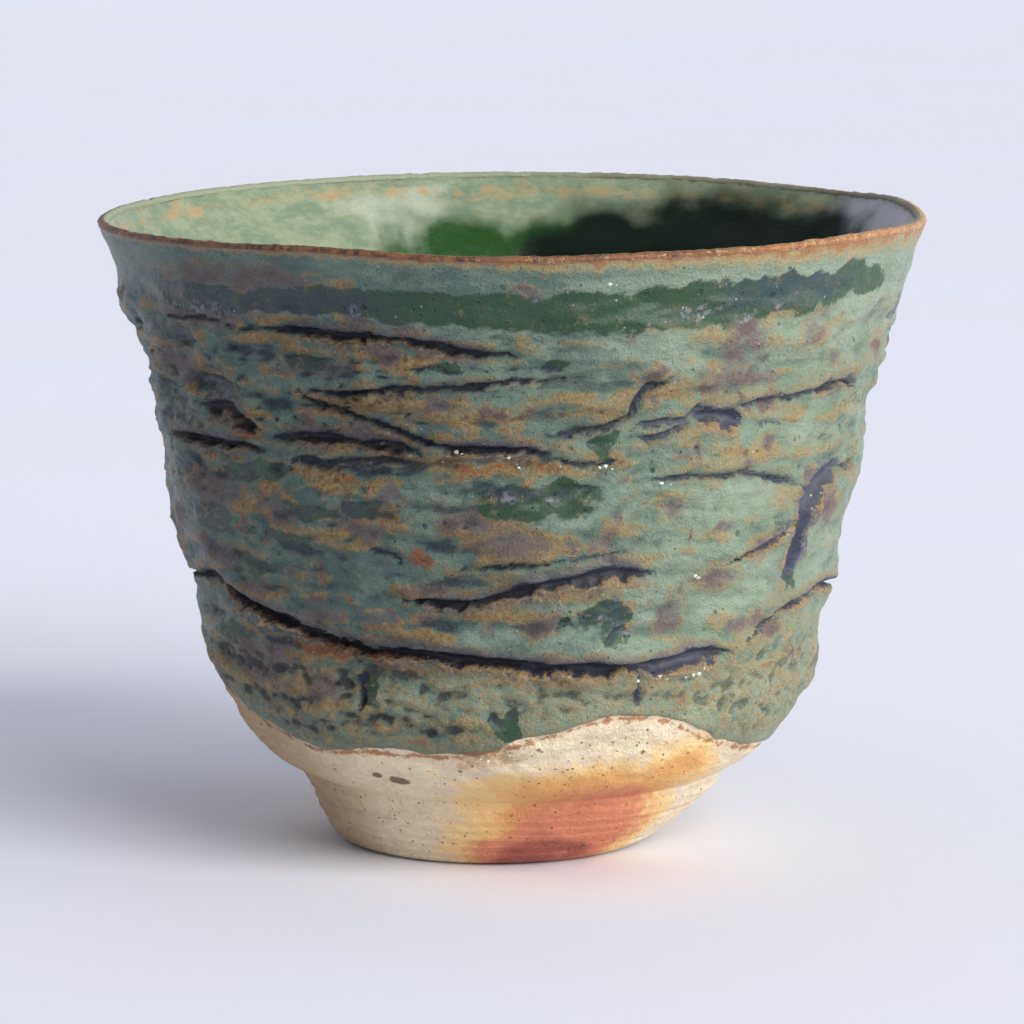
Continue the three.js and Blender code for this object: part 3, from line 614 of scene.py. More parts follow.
def rough_skin(angle, height, points):
    """Sheets, flakes, pebbles and ridges of the torn skin."""
    wide = terraced(grain(points, 6.5, stretch=3.4, octaves=3, seed=2), 2.6)
    sheets = (0.42 + 0.24 * sheeted(height)) * (1 + 0.3 * thick_and_shaded_share(angle)) * wide
    small = terraced(grain(points, 3.2, stretch=1.8, octaves=2, seed=5), 2.2)
    flakes = (0.24 + 0.06 * sheeted(height) + 0.14 * crumbly(height)) * small
    lumpy = smooth(grain(points, 7, stretch=2.0, octaves=2, seed=12), -0.2, 0.3)
    fine = grain(points, 1.1, stretch=1.2, octaves=3, seed=3)
    pebbles = (0.05 + 0.09 * lumpy + 0.2 * crumbly(height)) * fine
    return sheets + flakes + pebbles + dragged_ridges(angle, height, points)


def fine_cracks(height, points):
    """A loose net of fine cracks, strongest where the skin lies in sheets."""
    veins = np.abs(grain(points, 7, stretch=3.0, octaves=4, seed=9))
    places = smooth(grain(points, 8, octaves=2, seed=10), -0.1, 0.25)
    return (1 - smooth(veins, 0.0, 0.045)) * places * (0.35 + 0.65 * sheeted(height))


def coat_skin(angle, height, edge, sizes):
    """How far the coat stands off the wall's outline, and the marks of its tears."""
    points = on_cup(angle, wall_radius(height), height)
    above_edge = height - edge
    torn, marks = torn_relief(angle, height, points)
    cracks = fine_cracks(height, points)
    marks["tear"] = np.maximum(marks["tear"], 0.62 * cracks)
    beside = np.exp(-(((np.abs(wrapped(angle)) - BESIDE) / BESIDE_REACH) ** 2))
    rough = sizes.relief / MM * (1 - 0.5 * beside) * rough_skin(angle, height, points)
    rough = rough * (1 - 0.85 * smooth(marks["tear"], 0.4, 0.75)) * smooth(above_edge, -0.5, 2.5)
    calm = 1 - smooth(height, COAT_TOP - CALM_HEIGHT, COAT_TOP)
    skin = calm * (fingered(angle, height) + rough - 0.3 * cracks + torn)
    skin = np.where(skin < 0, smooth(above_edge, 0.2, 3.0), 1) * skin
    return skin, marks


def coat_marks(angle, height, edge, skin):
    """Marks for the coat's patches of colour, its crests and edges, where it is crumbly, and where it is
    thick and takes painted shade.
    """
    points = on_cup(angle, wall_radius(height), height)
    across = angle + 3 * grain(points, 3.0, octaves=4, seed=41)
    up = height + 0.7 * grain(points, 2.4, octaves=4, seed=42)
    marks = {name: marked(across, up, patches) for name, patches in scattered_marks().items()}
    marks["crumbly"] = crumbly(height)
    marks["ochre"] = np.maximum(marks["ochre"], 0.35 * marks["crumbly"])
    # Painted shade: the thick side away from the lamps is marked here to be darkened.
    marks["thick"] = (1 - 0.4 * marks["crumbly"]) * thick_and_shaded_share(angle)
    marks["crest"] = 0.5 + (skin - blurred(skin, 4)) / 0.5
    marks["edge"] = 1 - (height - edge) / 2
    marks["rim"] = 1 - (COAT_TOP - height) / (0.6 + 2.2 * fired_side(angle))
    return marks


def coat_back(edge):
    """The hidden side of the coat, from the lip down to the lower edge."""
    share = np.linspace(1, 0, COAT_BACK_ROWS)[:, None]
    height = edge + 0.3 + (COAT_TOP - 0.2 - edge) * share
    thinned = (COAT_THICKNESS - COAT_TOP_THICKNESS) * smooth(height, COAT_TOP - COAT_THINNING, COAT_TOP)
    angle = np.broadcast_to(round_angles(COAT_COLUMNS), height.shape)
    return on_cup(angle, wall_radius(height) - COAT_THICKNESS + thinned, height)


def coat_mesh(sizes):
    """The torn coat: a closed shell with its relief on the outside and marks for its colours."""
    column_angle = round_angles(COAT_COLUMNS)
    level = on_cup(column_angle, wall_radius(EDGE_LEVEL), np.full(COAT_COLUMNS, EDGE_LEVEL))
    edge = glaze_edge(wrapped(column_angle)) + EDGE_RAGGED * grain(level, 2.6, octaves=2, seed=31)
    height = edge + (COAT_TOP - edge) * np.linspace(0, 1, COAT_ROWS)[:, None]
    angle = np.broadcast_to(column_angle, height.shape)
    skin, marks = coat_skin(angle, height, edge, sizes)
    marks.update(coat_marks(angle, height, edge, skin))
    rounding = EDGE_SINK * (1 - smooth(height - edge, 0, EDGE_ROUND)) ** 2
    outside = on_cup(angle, wall_radius(height) + skin - rounding, height)
    rings = np.concatenate([outside, coat_back(edge)])
    return turned_mesh("torn_coat", rings, padded(marks, 0, COAT_BACK_ROWS))


# Green glaze inside

LINER_COLUMNS, LINER_ROWS, LINER_BACK_ROWS = 320, 110, 24
THROWING_PITCH = 5.2  # height between the throwing rings
RING_HEIGHT, LUMP_HEIGHT, DRIP_HEIGHT = 0.14, 0.25, 0.18
DISH_DEPTH, DISH_RADIUS = 0.25, 11  # the dip in the middle of the floor
POOL_TOP = (1.5, 15)  # heights above the floor over which the pooled glaze ends
UPPER_BAND, LOWER_BAND = 1.5, 4.4  # how far two spotted bands lie below the lip


def inside_point(place):
    """Radius and height of the bowl's inside at a place from 0, the middle of the floor, to 1, the lip."""
    radii, rises = zip(*INSIDE_OUTLINE)
    stations = np.linspace(0, 1, len(radii))
    radius = smooth_line(list(zip(stations, radii)))(place)
    rise = smooth_line(list(zip(stations, rises)))(place)
    return radius, FLOOR + rise


def inside_radius(height):
    """Radius of the bowl's inside at a height of the wall."""
    radius, level = inside_point(np.linspace(0.4, 1, 200))
    return np.interp(height, level, radius)


def behind_inside(place, depth, angle):
    """Points behind the bowl's inside by a depth, down to the middle of the floor."""
    radius, height = inside_point(place)
    radius = np.where(place > 0, radius + depth * smooth(place, 0, 0.3), 0) + 0 * angle
    height = height - depth * (1 - smooth(place, 0.2, 0.5)) + 0 * angle
    return on_cup(angle + 0 * radius, radius, height)


def liner_mesh():
    """The green glaze inside: throwing rings, drips and a pool on the floor."""
    angle = round_angles(LINER_COLUMNS)
    back = behind_inside(np.linspace(0, 1, LINER_BACK_ROWS)[:, None], LINER, angle)

    place = np.linspace(1, 0, LINER_ROWS)[:, None]
    radius, height = inside_point(place)
    radius = radius + 0 * angle
    height = height + 0 * angle
    wide_angle = angle + 0 * radius
    points = on_cup(wide_angle, radius, height)
    throwing = np.sin(2 * math.pi * (height / THROWING_PITCH + angle / 360))
    drips = grain(points * np.array([1, 1, 0.18]), 3.2, octaves=3, seed=51)
    lumps = grain(points, 7, stretch=1.5, octaves=3, seed=52)
    wall = smooth(height, FLOOR + 2, FLOOR + 8) * (1 - smooth(height, LIP_TOP - 3, LIP_TOP))
    relief = RING_HEIGHT * throwing + LUMP_HEIGHT * lumps + DRIP_HEIGHT * drips
    radius = np.where(place > 0, radius - wall * relief, 0)
    dish = DISH_DEPTH * (1 - smooth(radius, 0, DISH_RADIUS)) + 0.1 * lumps * (1 - wall)
    inside = on_cup(wide_angle, radius, height - np.where(place > 0, dish, DISH_DEPTH))

    below_lip = LIP_TOP - height
    upper_band = np.exp(-(((below_lip - UPPER_BAND) / 0.8) ** 2))
    clear = smooth(np.cos(np.radians(angle + 120)), -0.2, 0.6)
    lower_band = np.exp(-(((below_lip - LOWER_BAND) / 0.7) ** 2)) * (1 - clear)
    marks = {
        "pool": 1 - smooth(height - FLOOR + 2.5 * drips + 1.2 * lumps, *POOL_TOP),
        "band": 0.6 * np.maximum(upper_band, lower_band) + 0.3 * lumps * (below_lip < 7),
        "rim": 1 - below_lip / 3,
    }
    for name, patches in LINER_MARKS.items():
        marks[name] = marked(wide_angle + 5 * drips, height + 1.5 * lumps, patches)
    rings = np.concatenate([back, inside])
    return turned_mesh("green_liner", rings, padded(marks, LINER_BACK_ROWS, 0), poles=True)


# Brown glaze on the lip

LIP_COLUMNS = 720
LIP_OUTSIDE_ROWS, LIP_CROWN_ROWS, LIP_INSIDE_ROWS = 9, 9, 6
LIP_REACH = 0.55  # how far the brown glaze comes down outside
LIP_INNER_REACH = 0.42  # and inside
LIP_CROWN = 0.3  # height of the rounded edge
LIP_STANDS = 0.04  # how far the lip stands out beyond the glazes beside it
LIP_SINK = 0.3  # how far its edges go under those glazes


def lip_section(angle):
    """Radii and heights of the lip from outside over its crown to inside, and how each row faces out."""
    shoulder = LIP_TOP - LIP_CROWN
    start = on_cup(angle, LIP_RADIUS + 0 * angle, LIP_TOP + 0 * angle)
    worn = grain(start, 1.4, octaves=4, seed=61)
    outer_height = np.linspace(LIP_TOP - LIP_REACH, shoulder, LIP_OUTSIDE_ROWS)[:, None] + 0 * angle
    outer_height = outer_height + 0.2 * worn * (1 - smooth(outer_height, LIP_TOP - LIP_REACH, shoulder))
    outer_radius = wall_radius(outer_height) + LIP_STANDS
    outer_radius[0] -= LIP_SINK
    turn = np.linspace(0, math.pi, LIP_CROWN_ROWS + 2)[1:-1, None]
    outer_edge = wall_radius(shoulder) + LIP_STANDS
    inner_edge = inside_radius(shoulder) - LIP_STANDS
    crown_radius = (outer_edge + inner_edge) / 2 + (outer_edge - inner_edge) / 2 * np.cos(turn) + 0 * angle
    crown_height = shoulder + (LIP_CROWN + 0.05 * worn) * np.sin(turn) + 0 * angle
    inner_height = np.linspace(shoulder, LIP_TOP - LIP_INNER_REACH, LIP_INSIDE_ROWS)[:, None] + 0 * angle
    inner_radius = inside_radius(inner_height) - LIP_STANDS
    inner_radius[-1] += LIP_SINK
    radius = np.concatenate([outer_radius, crown_radius, inner_radius])
    height = np.concatenate([outer_height, crown_height, inner_height])
    facing = np.concatenate([np.zeros(LIP_OUTSIDE_ROWS), turn[:, 0], np.full(LIP_INSIDE_ROWS, math.pi)])
    return radius, height, np.cos(facing)[:, None]


def lip_mesh():
    """The brown lip: a thin crumbly band over the edge of the wall."""
    angle = round_angles(LIP_COLUMNS)
    radius, height, outward = lip_section(angle)
    wide_angle = angle + 0 * radius
    crumbs = 0.08 * grain(on_cup(wide_angle, radius, height), 0.8, octaves=3, seed=62)
    crumbs[[0, -1]] = 0
    points = on_cup(wide_angle, radius + crumbs * outward, height + crumbs * (1 - np.abs(outward)))
    marks = {
        "inner": smooth(-outward, -0.5, 0.6) + 0 * angle,
        "low": 1 - smooth(height, LIP_TOP - LIP_REACH, LIP_TOP - LIP_CROWN),
        "right": fired_side(wide_angle),
    }
    return turned_mesh("iron_lip", points, marks)


# Bare clay of the belly, and the turned foot

CLAY_COLUMNS, CLAY_BARE_ROWS, CLAY_HIDDEN_ROWS = 480, 64, 12
CLAY_STEP = 0.4  # how far the clay lies below the coat's outline
CLAY_UNDER = 1.5  # how far the shaped clay goes on under the coat
FOOT_COLUMNS, FOOT_ROWS = 400, 170
FOOT_SHIFT = -1.6  # how far the foot's base lies off the axis
FOOT_UPRIGHT = 4.6  # height at which the foot is back on the axis
TORN_CLAY = -5  # angle round which the clay below the glaze is torn
TORN_CLAY_REACH = 11  # how far round that reaches
TORN_CLAY_START = (8.5, 10.5)  # heights over which it begins
COMBED = [(38, 10.6, 16, 2.2), (226, 9.6, 14, 1.8)]  # patches with combed strokes, as for the heat flash
FOOT_OUTSIDE = (10.6, 12.4)  # radii over which the turning lines of the foot begin
LAND_EDGE = (0.1, 0.8)  # heights over which they begin
TURNING_SLANT = 0.25  # how far they rise and fall round the foot
TURNING_RATES = (7.5, 17.0)  # radians to the millimetre of the coarse and the fine lines


def clay_marks(angle, height, points):
    """Marks for the heat flash, the painted shade on the side away from the lamps, and the stones in the
    clay.
    """
    across = angle + 4 * grain(points, 5, octaves=4, seed=71)
    up = height + 0.8 * grain(points, 4, octaves=4, seed=72)
    marks = {name: marked(across, up, patches) for name, patches in FLASHES.items()}
    # Painted shade on the side away from the lamps.
    marks["smoke"] = smooth(np.cos(np.radians(angle - THICK_AND_SHADED_SIDE)), 0.75, 1.0)
    marks["stone"] = marked(angle + 0.25 * (across - angle), height + 0.2 * (up - height), FLASHES["stone"])
    return marks


def clay_mesh():
    """The clay bowl: rough and bare on the belly, plain where the glazes hide it."""
    angle = round_angles(CLAY_COLUMNS)
    edge = glaze_edge(wrapped(angle))
    share = np.linspace(0, 1, CLAY_BARE_ROWS)[:, None]
    low = FOOT_TOP + 0.1
    height = low + (edge + CLAY_UNDER - low) * share
    wide_angle = angle + 0 * height
    radius = wall_radius(height) - CLAY_STEP
    points = on_cup(wide_angle, radius, height)
    torn = np.exp(-(((wrapped(wide_angle) - TORN_CLAY) / TORN_CLAY_REACH) ** 2))
    torn = torn * smooth(height, *TORN_CLAY_START)
    bare = 1 - smooth(height, edge, edge + CLAY_UNDER)
    grit = 0.2 * grain(points, 1.6, octaves=5, seed=73) * (1 + 1.4 * torn)
    lumps = 0.25 * grain(points, 7, octaves=3, seed=74)
    marks = clay_marks(wide_angle, height, points)
    marks["stone"] = marks["stone"] * bare
    marks["line"] = 1 - np.abs(height - edge) / 1.2
    marks["torn"] = torn
    marks["comb"] = marked(wide_angle, height, COMBED)
    relief = smooth(share, 0, 0.12) * (grit + lumps) + 0.2 * marks["stone"]
    shaped = on_cup(wide_angle, radius + relief, height)

    under = on_cup(angle, np.zeros(CLAY_COLUMNS), np.full(CLAY_COLUMNS, low))[None]
    hidden_share = np.linspace(0.03, 1, CLAY_HIDDEN_ROWS)[:, None]
    hidden_height = edge + CLAY_UNDER + (LIP_TOP - 0.8 - edge - CLAY_UNDER) * hidden_share
    depth = COAT_THICKNESS + 0.25 - 1.2 * smooth(hidden_height, COAT_TOP - COAT_THINNING, LIP_TOP)
    outer = on_cup(angle + 0 * hidden_height, wall_radius(hidden_height) - depth, hidden_height)
    inner = behind_inside(np.linspace(0.985, 0, 2 * CLAY_HIDDEN_ROWS)[:, None], 1.6 * LINER, angle)
    rings = np.concatenate([under, shaped, outer, inner])
    return turned_mesh("clay_belly", rings, padded(marks, 1, len(outer) + len(inner)), poles=True)


def foot_mesh(sizes):
    """The turned foot ring with fine turning lines; its base lies a little to one side."""
    wall = np.array(FOOT_OUTLINE) / 100 * np.array([FOOT_RADIUS, FOOT_TOP])
    section = np.concatenate([wall, np.array(RECESS_OUTLINE), wall[:1]])
    lengths = np.concatenate([[0], np.cumsum(np.hypot(*np.diff(section, axis=0).T))])
    places = np.linspace(0, lengths[-1], FOOT_ROWS, endpoint=False)
    angle = round_angles(FOOT_COLUMNS)
    radius = np.interp(places, lengths, section[:, 0])[:, None] + 0 * angle
    height = np.interp(places, lengths, section[:, 1])[:, None] + 0 * angle
    wide_angle = angle + 0 * radius
    points = on_cup(wide_angle, radius, height)
    outside = smooth(radius, *FOOT_OUTSIDE) * smooth(height, *LAND_EDGE)
    slant = height + TURNING_SLANT * np.sin(np.radians(angle))
    coarse, fine = (slant * rate for rate in TURNING_RATES)
    lines = sizes.turning_lines / MM * (np.sin(coarse) + 0.7 * np.sin(fine + 1.0))
    grit = 0.14 * grain(points, 1.8, octaves=5, seed=81)
    lumps = 0.3 * grain(points, 8, octaves=2, seed=82)
    marks = clay_marks(wide_angle, height, points)
    for name in ("line", "comb", "torn"):
        marks[name] = 0 * radius
    rings = on_cup(wide_angle, radius + outside * (lines + grit + lumps), height)
    rings[..., 0] += FOOT_SHIFT * np.clip(1 - height / FOOT_UPRIGHT, 0, 1)
    return turned_mesh("turned_foot", rings, marks)


# Quartz grits in the glaze


def grit_places():
    """Angles, heights and sizes of the grits: the photographed ones, and others beside the back's tears."""
    chance = np.random.default_rng(GRIT_SEED)
    back = [course for kind, course in TEARS if course[0][0] > 80 and kind in (LEDGE, TEAR)]
    places = list(GRITS)
    for number in range(BACK_GRITS):
        course = back[number % len(back)]
        corner = course[chance.integers(1, len(course) - 1)]
        below = chance.uniform(0.7, 1.1)
        places.append((corner[0] + chance.uniform(-3, 3), corner[1] - below, chance.uniform(0.24, 0.5)))
    return places


def grits_mesh(sizes):
    """Small broken grains of quartz, half sunk in the glaze."""
    work = bmesh.new()
    for number, (angle, height, size) in enumerate(grit_places()):
        middle = on_cup(np.array(angle), wall_radius(np.array(height)) - 0.05, np.array(height))
        made = bmesh.ops.create_icosphere(work, subdivisions=2, radius=size / 2 * sizes.grit_scale)
        for vertex in made["verts"]:
            chip = noise.noise(vertex.co * 3.1 / size + Vector((7.0 * number, 0, 0)))
            vertex.co = vertex.co * (1 + 0.55 * chip)
            vertex.co.z *= 0.75
            vertex.co = (vertex.co + Vector(middle)) * MM
    mesh = bpy.data.meshes.new("quartz_grits")
    work.to_mesh(mesh)
    work.free()
    mesh.shade_smooth()
    return mesh


# Shader maths

MIX_FIRST, MIX_SECOND, MIX_RESULT = 6, 7, 2  # the colour sockets of a Mix node


class Value:
    """A shader socket that takes part in Python sums; each operator adds its Math node."""

    def __init__(self, nodes, socket):
        self.nodes = nodes
        self.socket = socket

    def math(self, operation, first, second):
        return self.nodes.node("ShaderNodeMath", {"operation": operation}, {0: first, 1: second})

    def __add__(self, other):
        return self.math("ADD", self, other)

    def __sub__(self, other):
        return self.math("SUBTRACT", self, other)

    def __rsub__(self, other):
        return self.math("SUBTRACT", other, self)

    def __mul__(self, other):
        return self.math("MULTIPLY", self, other)

    __radd__ = __add__
    __rmul__ = __mul__

    def larger(self, other):
        return self.math("MAXIMUM", self, other)

    def step(self, low, high):
        """0 below low, 1 above high, and smooth between."""
        settings = {"interpolation_type": "SMOOTHSTEP"}
        return self.nodes.node("ShaderNodeMapRange", settings, {0: self, 1: low, 2: high})


class Nodes:
    """A node tree, emptied and filled again."""

    def __init__(self, tree):
        self.tree = tree
        self.tree.nodes.clear()

    def node(self, kind, settings, inputs, output=0):
        """Adds a node, fills its sockets and returns one of its outputs, if one is asked for."""
        made = self.tree.nodes.new(kind)
        for name, value in settings.items():
            setattr(made, name, value)
        for key, value in inputs.items():
            if isinstance(value, Value):
                self.tree.links.new(value.socket, made.inputs[key])
            elif isinstance(value, (int, float)):
                made.inputs[key].default_value = value
            else:
                size = len(made.inputs[key].default_value)
                made.inputs[key].default_value = (*value, 1.0)[:size]
        return None if output is None else Value(self, made.outputs[output])


class Surface(Nodes):
    """The node tree of one material."""

    def __init__(self, name):
        self.material = bpy.data.materials.new(name)
        self.material.use_nodes = True
        super().__init__(self.material.node_tree)
        self.place = self.node("ShaderNodeTexCoord", {}, {}, "Object")

    def marks(self, *names):
        """Marks kept on the mesh's points."""
        return [self.node("ShaderNodeAttribute", {"attribute_name": name}, {}, "Fac") for name in names]

    def stretched(self, stretch, shift):
        """Places moved by a shift and drawn together along the height."""
        moved = (shift, 0.7 * shift, 1.3 * shift)
        inputs = {"Vector": self.place, "Location": moved, "Scale": (1, 1, stretch)}
        return self.node("ShaderNodeMapping", {}, inputs)

    def grain(self, size, detail=4.0, rough=0.55, stretch=1.0, shift=0.0):
        """Noise round zero with grains of a size in mm, flattened where the stretch is above 1."""
        place = self.stretched(stretch, shift)
        inputs = {"Vector": place, "Scale": 1 / (size * MM), "Detail": detail, "Roughness": rough}
        return self.node("ShaderNodeTexNoise", {}, inputs) - 0.5

    def specks(self, spacing, size, shift=0.0):
        """Round specks of a size, about a spacing apart, as 1 on a speck and 0 beside it."""
        inputs = {"Vector": self.stretched(1.0, shift), "Scale": 1 / (spacing * MM)}
        distance = self.node("ShaderNodeTexVoronoi", {}, inputs, "Distance")
        return 1 - distance.step(0.5 * size / spacing, size / spacing)

    def mix(self, share, first, second, blend="MIX"):
        """A colour with a share of another laid over it, or multiplied with it."""
        settings = {"data_type": "RGBA", "blend_type": blend}
        inputs = {0: share, MIX_FIRST: first, MIX_SECOND: second}
        return self.node("ShaderNodeMix", settings, inputs, MIX_RESULT)

    def bump(self, height, strength, distance):
        """A normal from heights, for a relief of a depth in mm."""
        inputs = {"Height": height, "Strength": strength, "Distance": distance * MM}
        return self.node("ShaderNodeBump", {}, inputs)

    def finish(self, colour, roughness, normal, constants):
        """The Principled shader and the output."""
        inputs = {"Base Color": colour, "Roughness": roughness, "Normal": normal, **constants}
        shader = self.node("ShaderNodeBsdfPrincipled", {}, inputs)
        self.node("ShaderNodeOutputMaterial", {}, {"Surface": shader}, None)
        return self.material


# Materials


GLAZE_MARKS = (
    "tear", "crust", "broken", "halo", "crest", "edge", "rim", "thick", "crumbly", "grains",
    "pool", "teal", "brown", "ochre", "rust", "sage",
)


def glaze_fields(look):
    """The marks of the torn glaze by name, and the noises that its layers share, from broad to fine."""
    at = SimpleNamespace(**dict(zip(GLAZE_MARKS, look.marks(*GLAZE_MARKS))))
    at.broad = look.grain(8, detail=5, stretch=1.6)
    at.cloud = look.grain(3.0, detail=8, rough=0.64, stretch=1.8, shift=0.013)
    at.bloom = look.grain(2.2, detail=6, rough=0.6, stretch=2.4, shift=0.033)
    at.stain = look.grain(2.0, detail=7, rough=0.64, stretch=1.3, shift=0.071)
    at.streak = look.grain(1.3, detail=5, rough=0.6, stretch=0.4, shift=0.019)
    at.fleck = look.grain(0.6, detail=5, rough=0.7, stretch=1.2, shift=0.027)
    at.grit = look.grain(0.36, detail=4, rough=0.65, shift=0.057)
    at.dust = look.grain(0.17, detail=3, rough=0.7, shift=0.041)
    at.ragged = at.fleck + at.grit + 0.3 * at.dust
    at.speckle = (0.25 + 0.6 * at.thick) * (at.fleck + 0.5 * at.grit + 0.3 * at.dust)
    # The thin, lit side: the opposite of the painted shade.
    at.thin = 1 - at.thick
    at.high = at.crest - 0.5
    return at


def mottled_ground(look, colours, at):
    """Clear glaze mottled with moss and slate: darker with painted shade on the thick side away from the
    lamps and in hollows, paler with painted light on the thin, lit side.
    """
    ground = at.broad + 1.2 * at.cloud + at.speckle + 0.3 * at.thin
    colour = look.mix(ground.step(-0.25, 0.45), colours.teal_grey, colours.sage)
    pale = 0.4 * at.sage + 1.3 * at.cloud + at.speckle + 0.25 * at.thin
    colour = look.mix(pale.step(0.1, 0.75) * 0.85, colour, colours.pale_sage)
    mossy = 1.2 * at.stain + 0.8 * at.bloom - 0.5 * at.cloud + 0.8 * at.speckle - 0.12 * at.thick
    colour = look.mix(mossy.step(-0.05, 0.45) * 0.65, colour, colours.moss)
    # Slate mottling, with painted shade in hollows and on the side away from the lamps.
    shaded = at.speckle - 1.3 * at.cloud - 0.3 * at.sage - 0.6 * at.high - 0.25 * at.thin
    return look.mix(shaded.step(0.0, 0.5) * 0.8, colour, colours.slate)


def gold_breaks(look, colours, at, colour):
    """Ochre where the glaze breaks over crests and grains, with specks in it. Keeps its share."""
    ring = at.brown.step(0.05, 0.4) * (1 - at.brown.step(0.45, 0.8))
    gold = 0.5 * at.ochre + 0.5 * ring + 1.4 * at.bloom + 0.9 * at.speckle + at.high
    gold = gold + 0.9 * at.crumbly * (at.fleck + at.grit) - 0.3 * at.sage - 0.18 * at.thick
    grainy = (0.45 * at.crumbly + 0.8 * at.grains + 1.1 * at.ragged + 0.6 * at.bloom).step(0.3, 0.65)
    at.golden = (grainy * (0.6 + 0.25 * at.grains)).larger(gold.step(0.0, 0.6) * (0.55 + 0.37 * at.thick))
    ochres = look.mix((at.fleck + 0.8 * at.grit).step(-0.2, 0.2), colours.ochre, colours.pale_ochre)
    ochres = look.mix((0.5 * at.cloud - at.fleck - at.grit).step(0.04, 0.35) * 0.75, ochres, colours.umber)
    # Paler ochre on the thin, lit side, as painted light.
    at.gold_colour = look.mix(at.thin * 0.55, ochres, colours.pale_ochre)
    colour = look.mix(at.golden, colour, at.gold_colour)
    rusted = look.specks(0.6, 0.22, shift=0.03) * at.golden * (0.3 + 0.4 * at.thick)
    colour = look.mix(rusted, colour, colours.rust)
    return look.mix(look.specks(0.9, 0.3, shift=0.11) * grainy * at.grains * 0.8, colour, colours.umber)


def iron_blooms(look, colours, at, colour):
    """Mauve blooms with umber middles, and rust spots. Keeps the share of the blooms."""
    at.browned = 0.62 * at.brown + 1.3 * at.stain + at.speckle - 0.25 * at.sage
    colour = look.mix(at.browned.step(0.1, 0.6) * 0.9, colour, colours.mauve)
    colour = look.mix((at.browned + 0.8 * at.dust).step(0.48, 0.9) * 0.7, colour, colours.umber)
    rusty = 0.5 * at.rust + 0.8 * at.fleck + 0.7 * at.dust + 1.1 * at.bloom + 0.2 * at.high
    return look.mix((rusty + 0.12 * at.thick).step(0.36, 0.8) * 0.9, colour, colours.rust)


def glassy_pools(look, colours, at, colour):
    """Pools of dark green and teal glass with grey clumps in them. Keeps the share of glass."""
    at.glass = (1.5 * at.pool + at.cloud + 0.7 * at.ragged - 0.4 * at.high).step(0.28, 0.62)
    cobalt = (at.teal + 1.2 * at.broad + 0.6 * at.cloud).step(0.1, 0.9)
    greens = look.mix(cobalt, colours.pool_green, colours.pool_teal)
    greens = look.mix((at.bloom + 0.8 * at.fleck).step(-0.1, 0.35) * 0.7, greens, colours.olive)
    colour = look.mix(at.glass * 0.95, colour, greens)
    clumps = (0.3 * at.brown + 0.22 * at.glass + 1.2 * at.stain + 0.7 * at.ragged).step(0.46, 0.66)
    return look.mix(clumps * 0.8, colour, colours.crust)


def torn_places(look, colours, at, colour):
    """Dark hollows, and tears with their halo, crust and broken edge; hollows and halos are partly pooled
    glaze and partly painted shade, stronger away from the lamps. Keeps the share of the tears.
    """
    # Pooled glaze with painted shade in hollows and below sheet edges, stronger on the side away from the
    # lamps.
    hollow_shade = (0.6 * at.fleck - 1.6 * at.high).step(0.14, 0.7)
    colour = look.mix(hollow_shade * (0.2 + 0.5 * at.thick + 0.3 * at.crumbly), colour, colours.hollow_shade)
    # Pooled glaze with painted shade round the tears, stronger on the side away from the lamps.
    darkened = (at.halo + 0.8 * at.cloud + 0.5 * at.fleck).step(0.25, 0.95)
    colour = look.mix(darkened * (0.2 + 0.5 * at.thick), colour, colours.hollow_shade)
    colour = look.mix((at.crust + 1.1 * at.ragged).step(0.25, 0.6) * 0.75, colour, colours.crust)
    edging = at.broken + 0.8 * at.ragged + 0.9 * at.bloom
    colour = look.mix(edging.step(0.25, 0.6) * 0.85, colour, at.gold_colour)
    rusted = (edging + 0.4 * at.rust - 0.25 * at.thin).step(0.55, 0.95)
    colour = look.mix(rusted * 0.8, colour, colours.rust)
    at.black = (at.tear + 1.2 * at.ragged).step(0.4, 0.62)
    # Tears are painted darker on the side away from the lamps, as painted shade.
    deepest_and_shaded = (0.9 * at.thick + at.broad + at.cloud).step(0.1, 0.8)
    return look.mix(at.black * 0.95, colour, look.mix(deepest_and_shaded, colours.tear_blue, colours.tear))


def burnt_edges(look, colours, at, colour):
    """An orange line along the lower edge, and burnt streaks below the lip."""
    line = (at.edge + 0.5 * at.ragged + 0.3 * at.bloom).step(0.82, 0.98)
    colour = look.mix(line * 0.9, colour, colours.edge_orange)
    burnt = at.rim + 1.3 * at.streak + 0.6 * at.fleck + 0.4 * at.dust
    colour = look.mix(burnt.step(0.1, 0.6) * 0.75, colour, colours.pale_ochre)
    return look.mix(burnt.step(0.5, 1.0) * 0.9, colour, colours.lip_orange)


def pits_and_glints(look, colours, at, colour):
    """Dark pin-holes, and pale specks painted as glints of light. Keeps the share of the pin-holes."""
    pits = look.specks(0.9, 0.13).larger(look.specks(2.3, 0.3, shift=0.06))
    at.pits = pits * (at.cloud + 0.5).step(0.42, 0.6)
    colour = look.mix(at.pits * 0.7, colour, colours.tear)
    # Painted highlights: small glints scattered over the glaze, and more of them in the grains.
    colour = look.mix(look.specks(1.3, 0.1, shift=0.09) * 0.6, colour, colours.glint_highlight)
    return look.mix(look.specks(0.8, 0.13, shift=0.15) * at.grains * 0.7, colour, colours.glint_highlight)


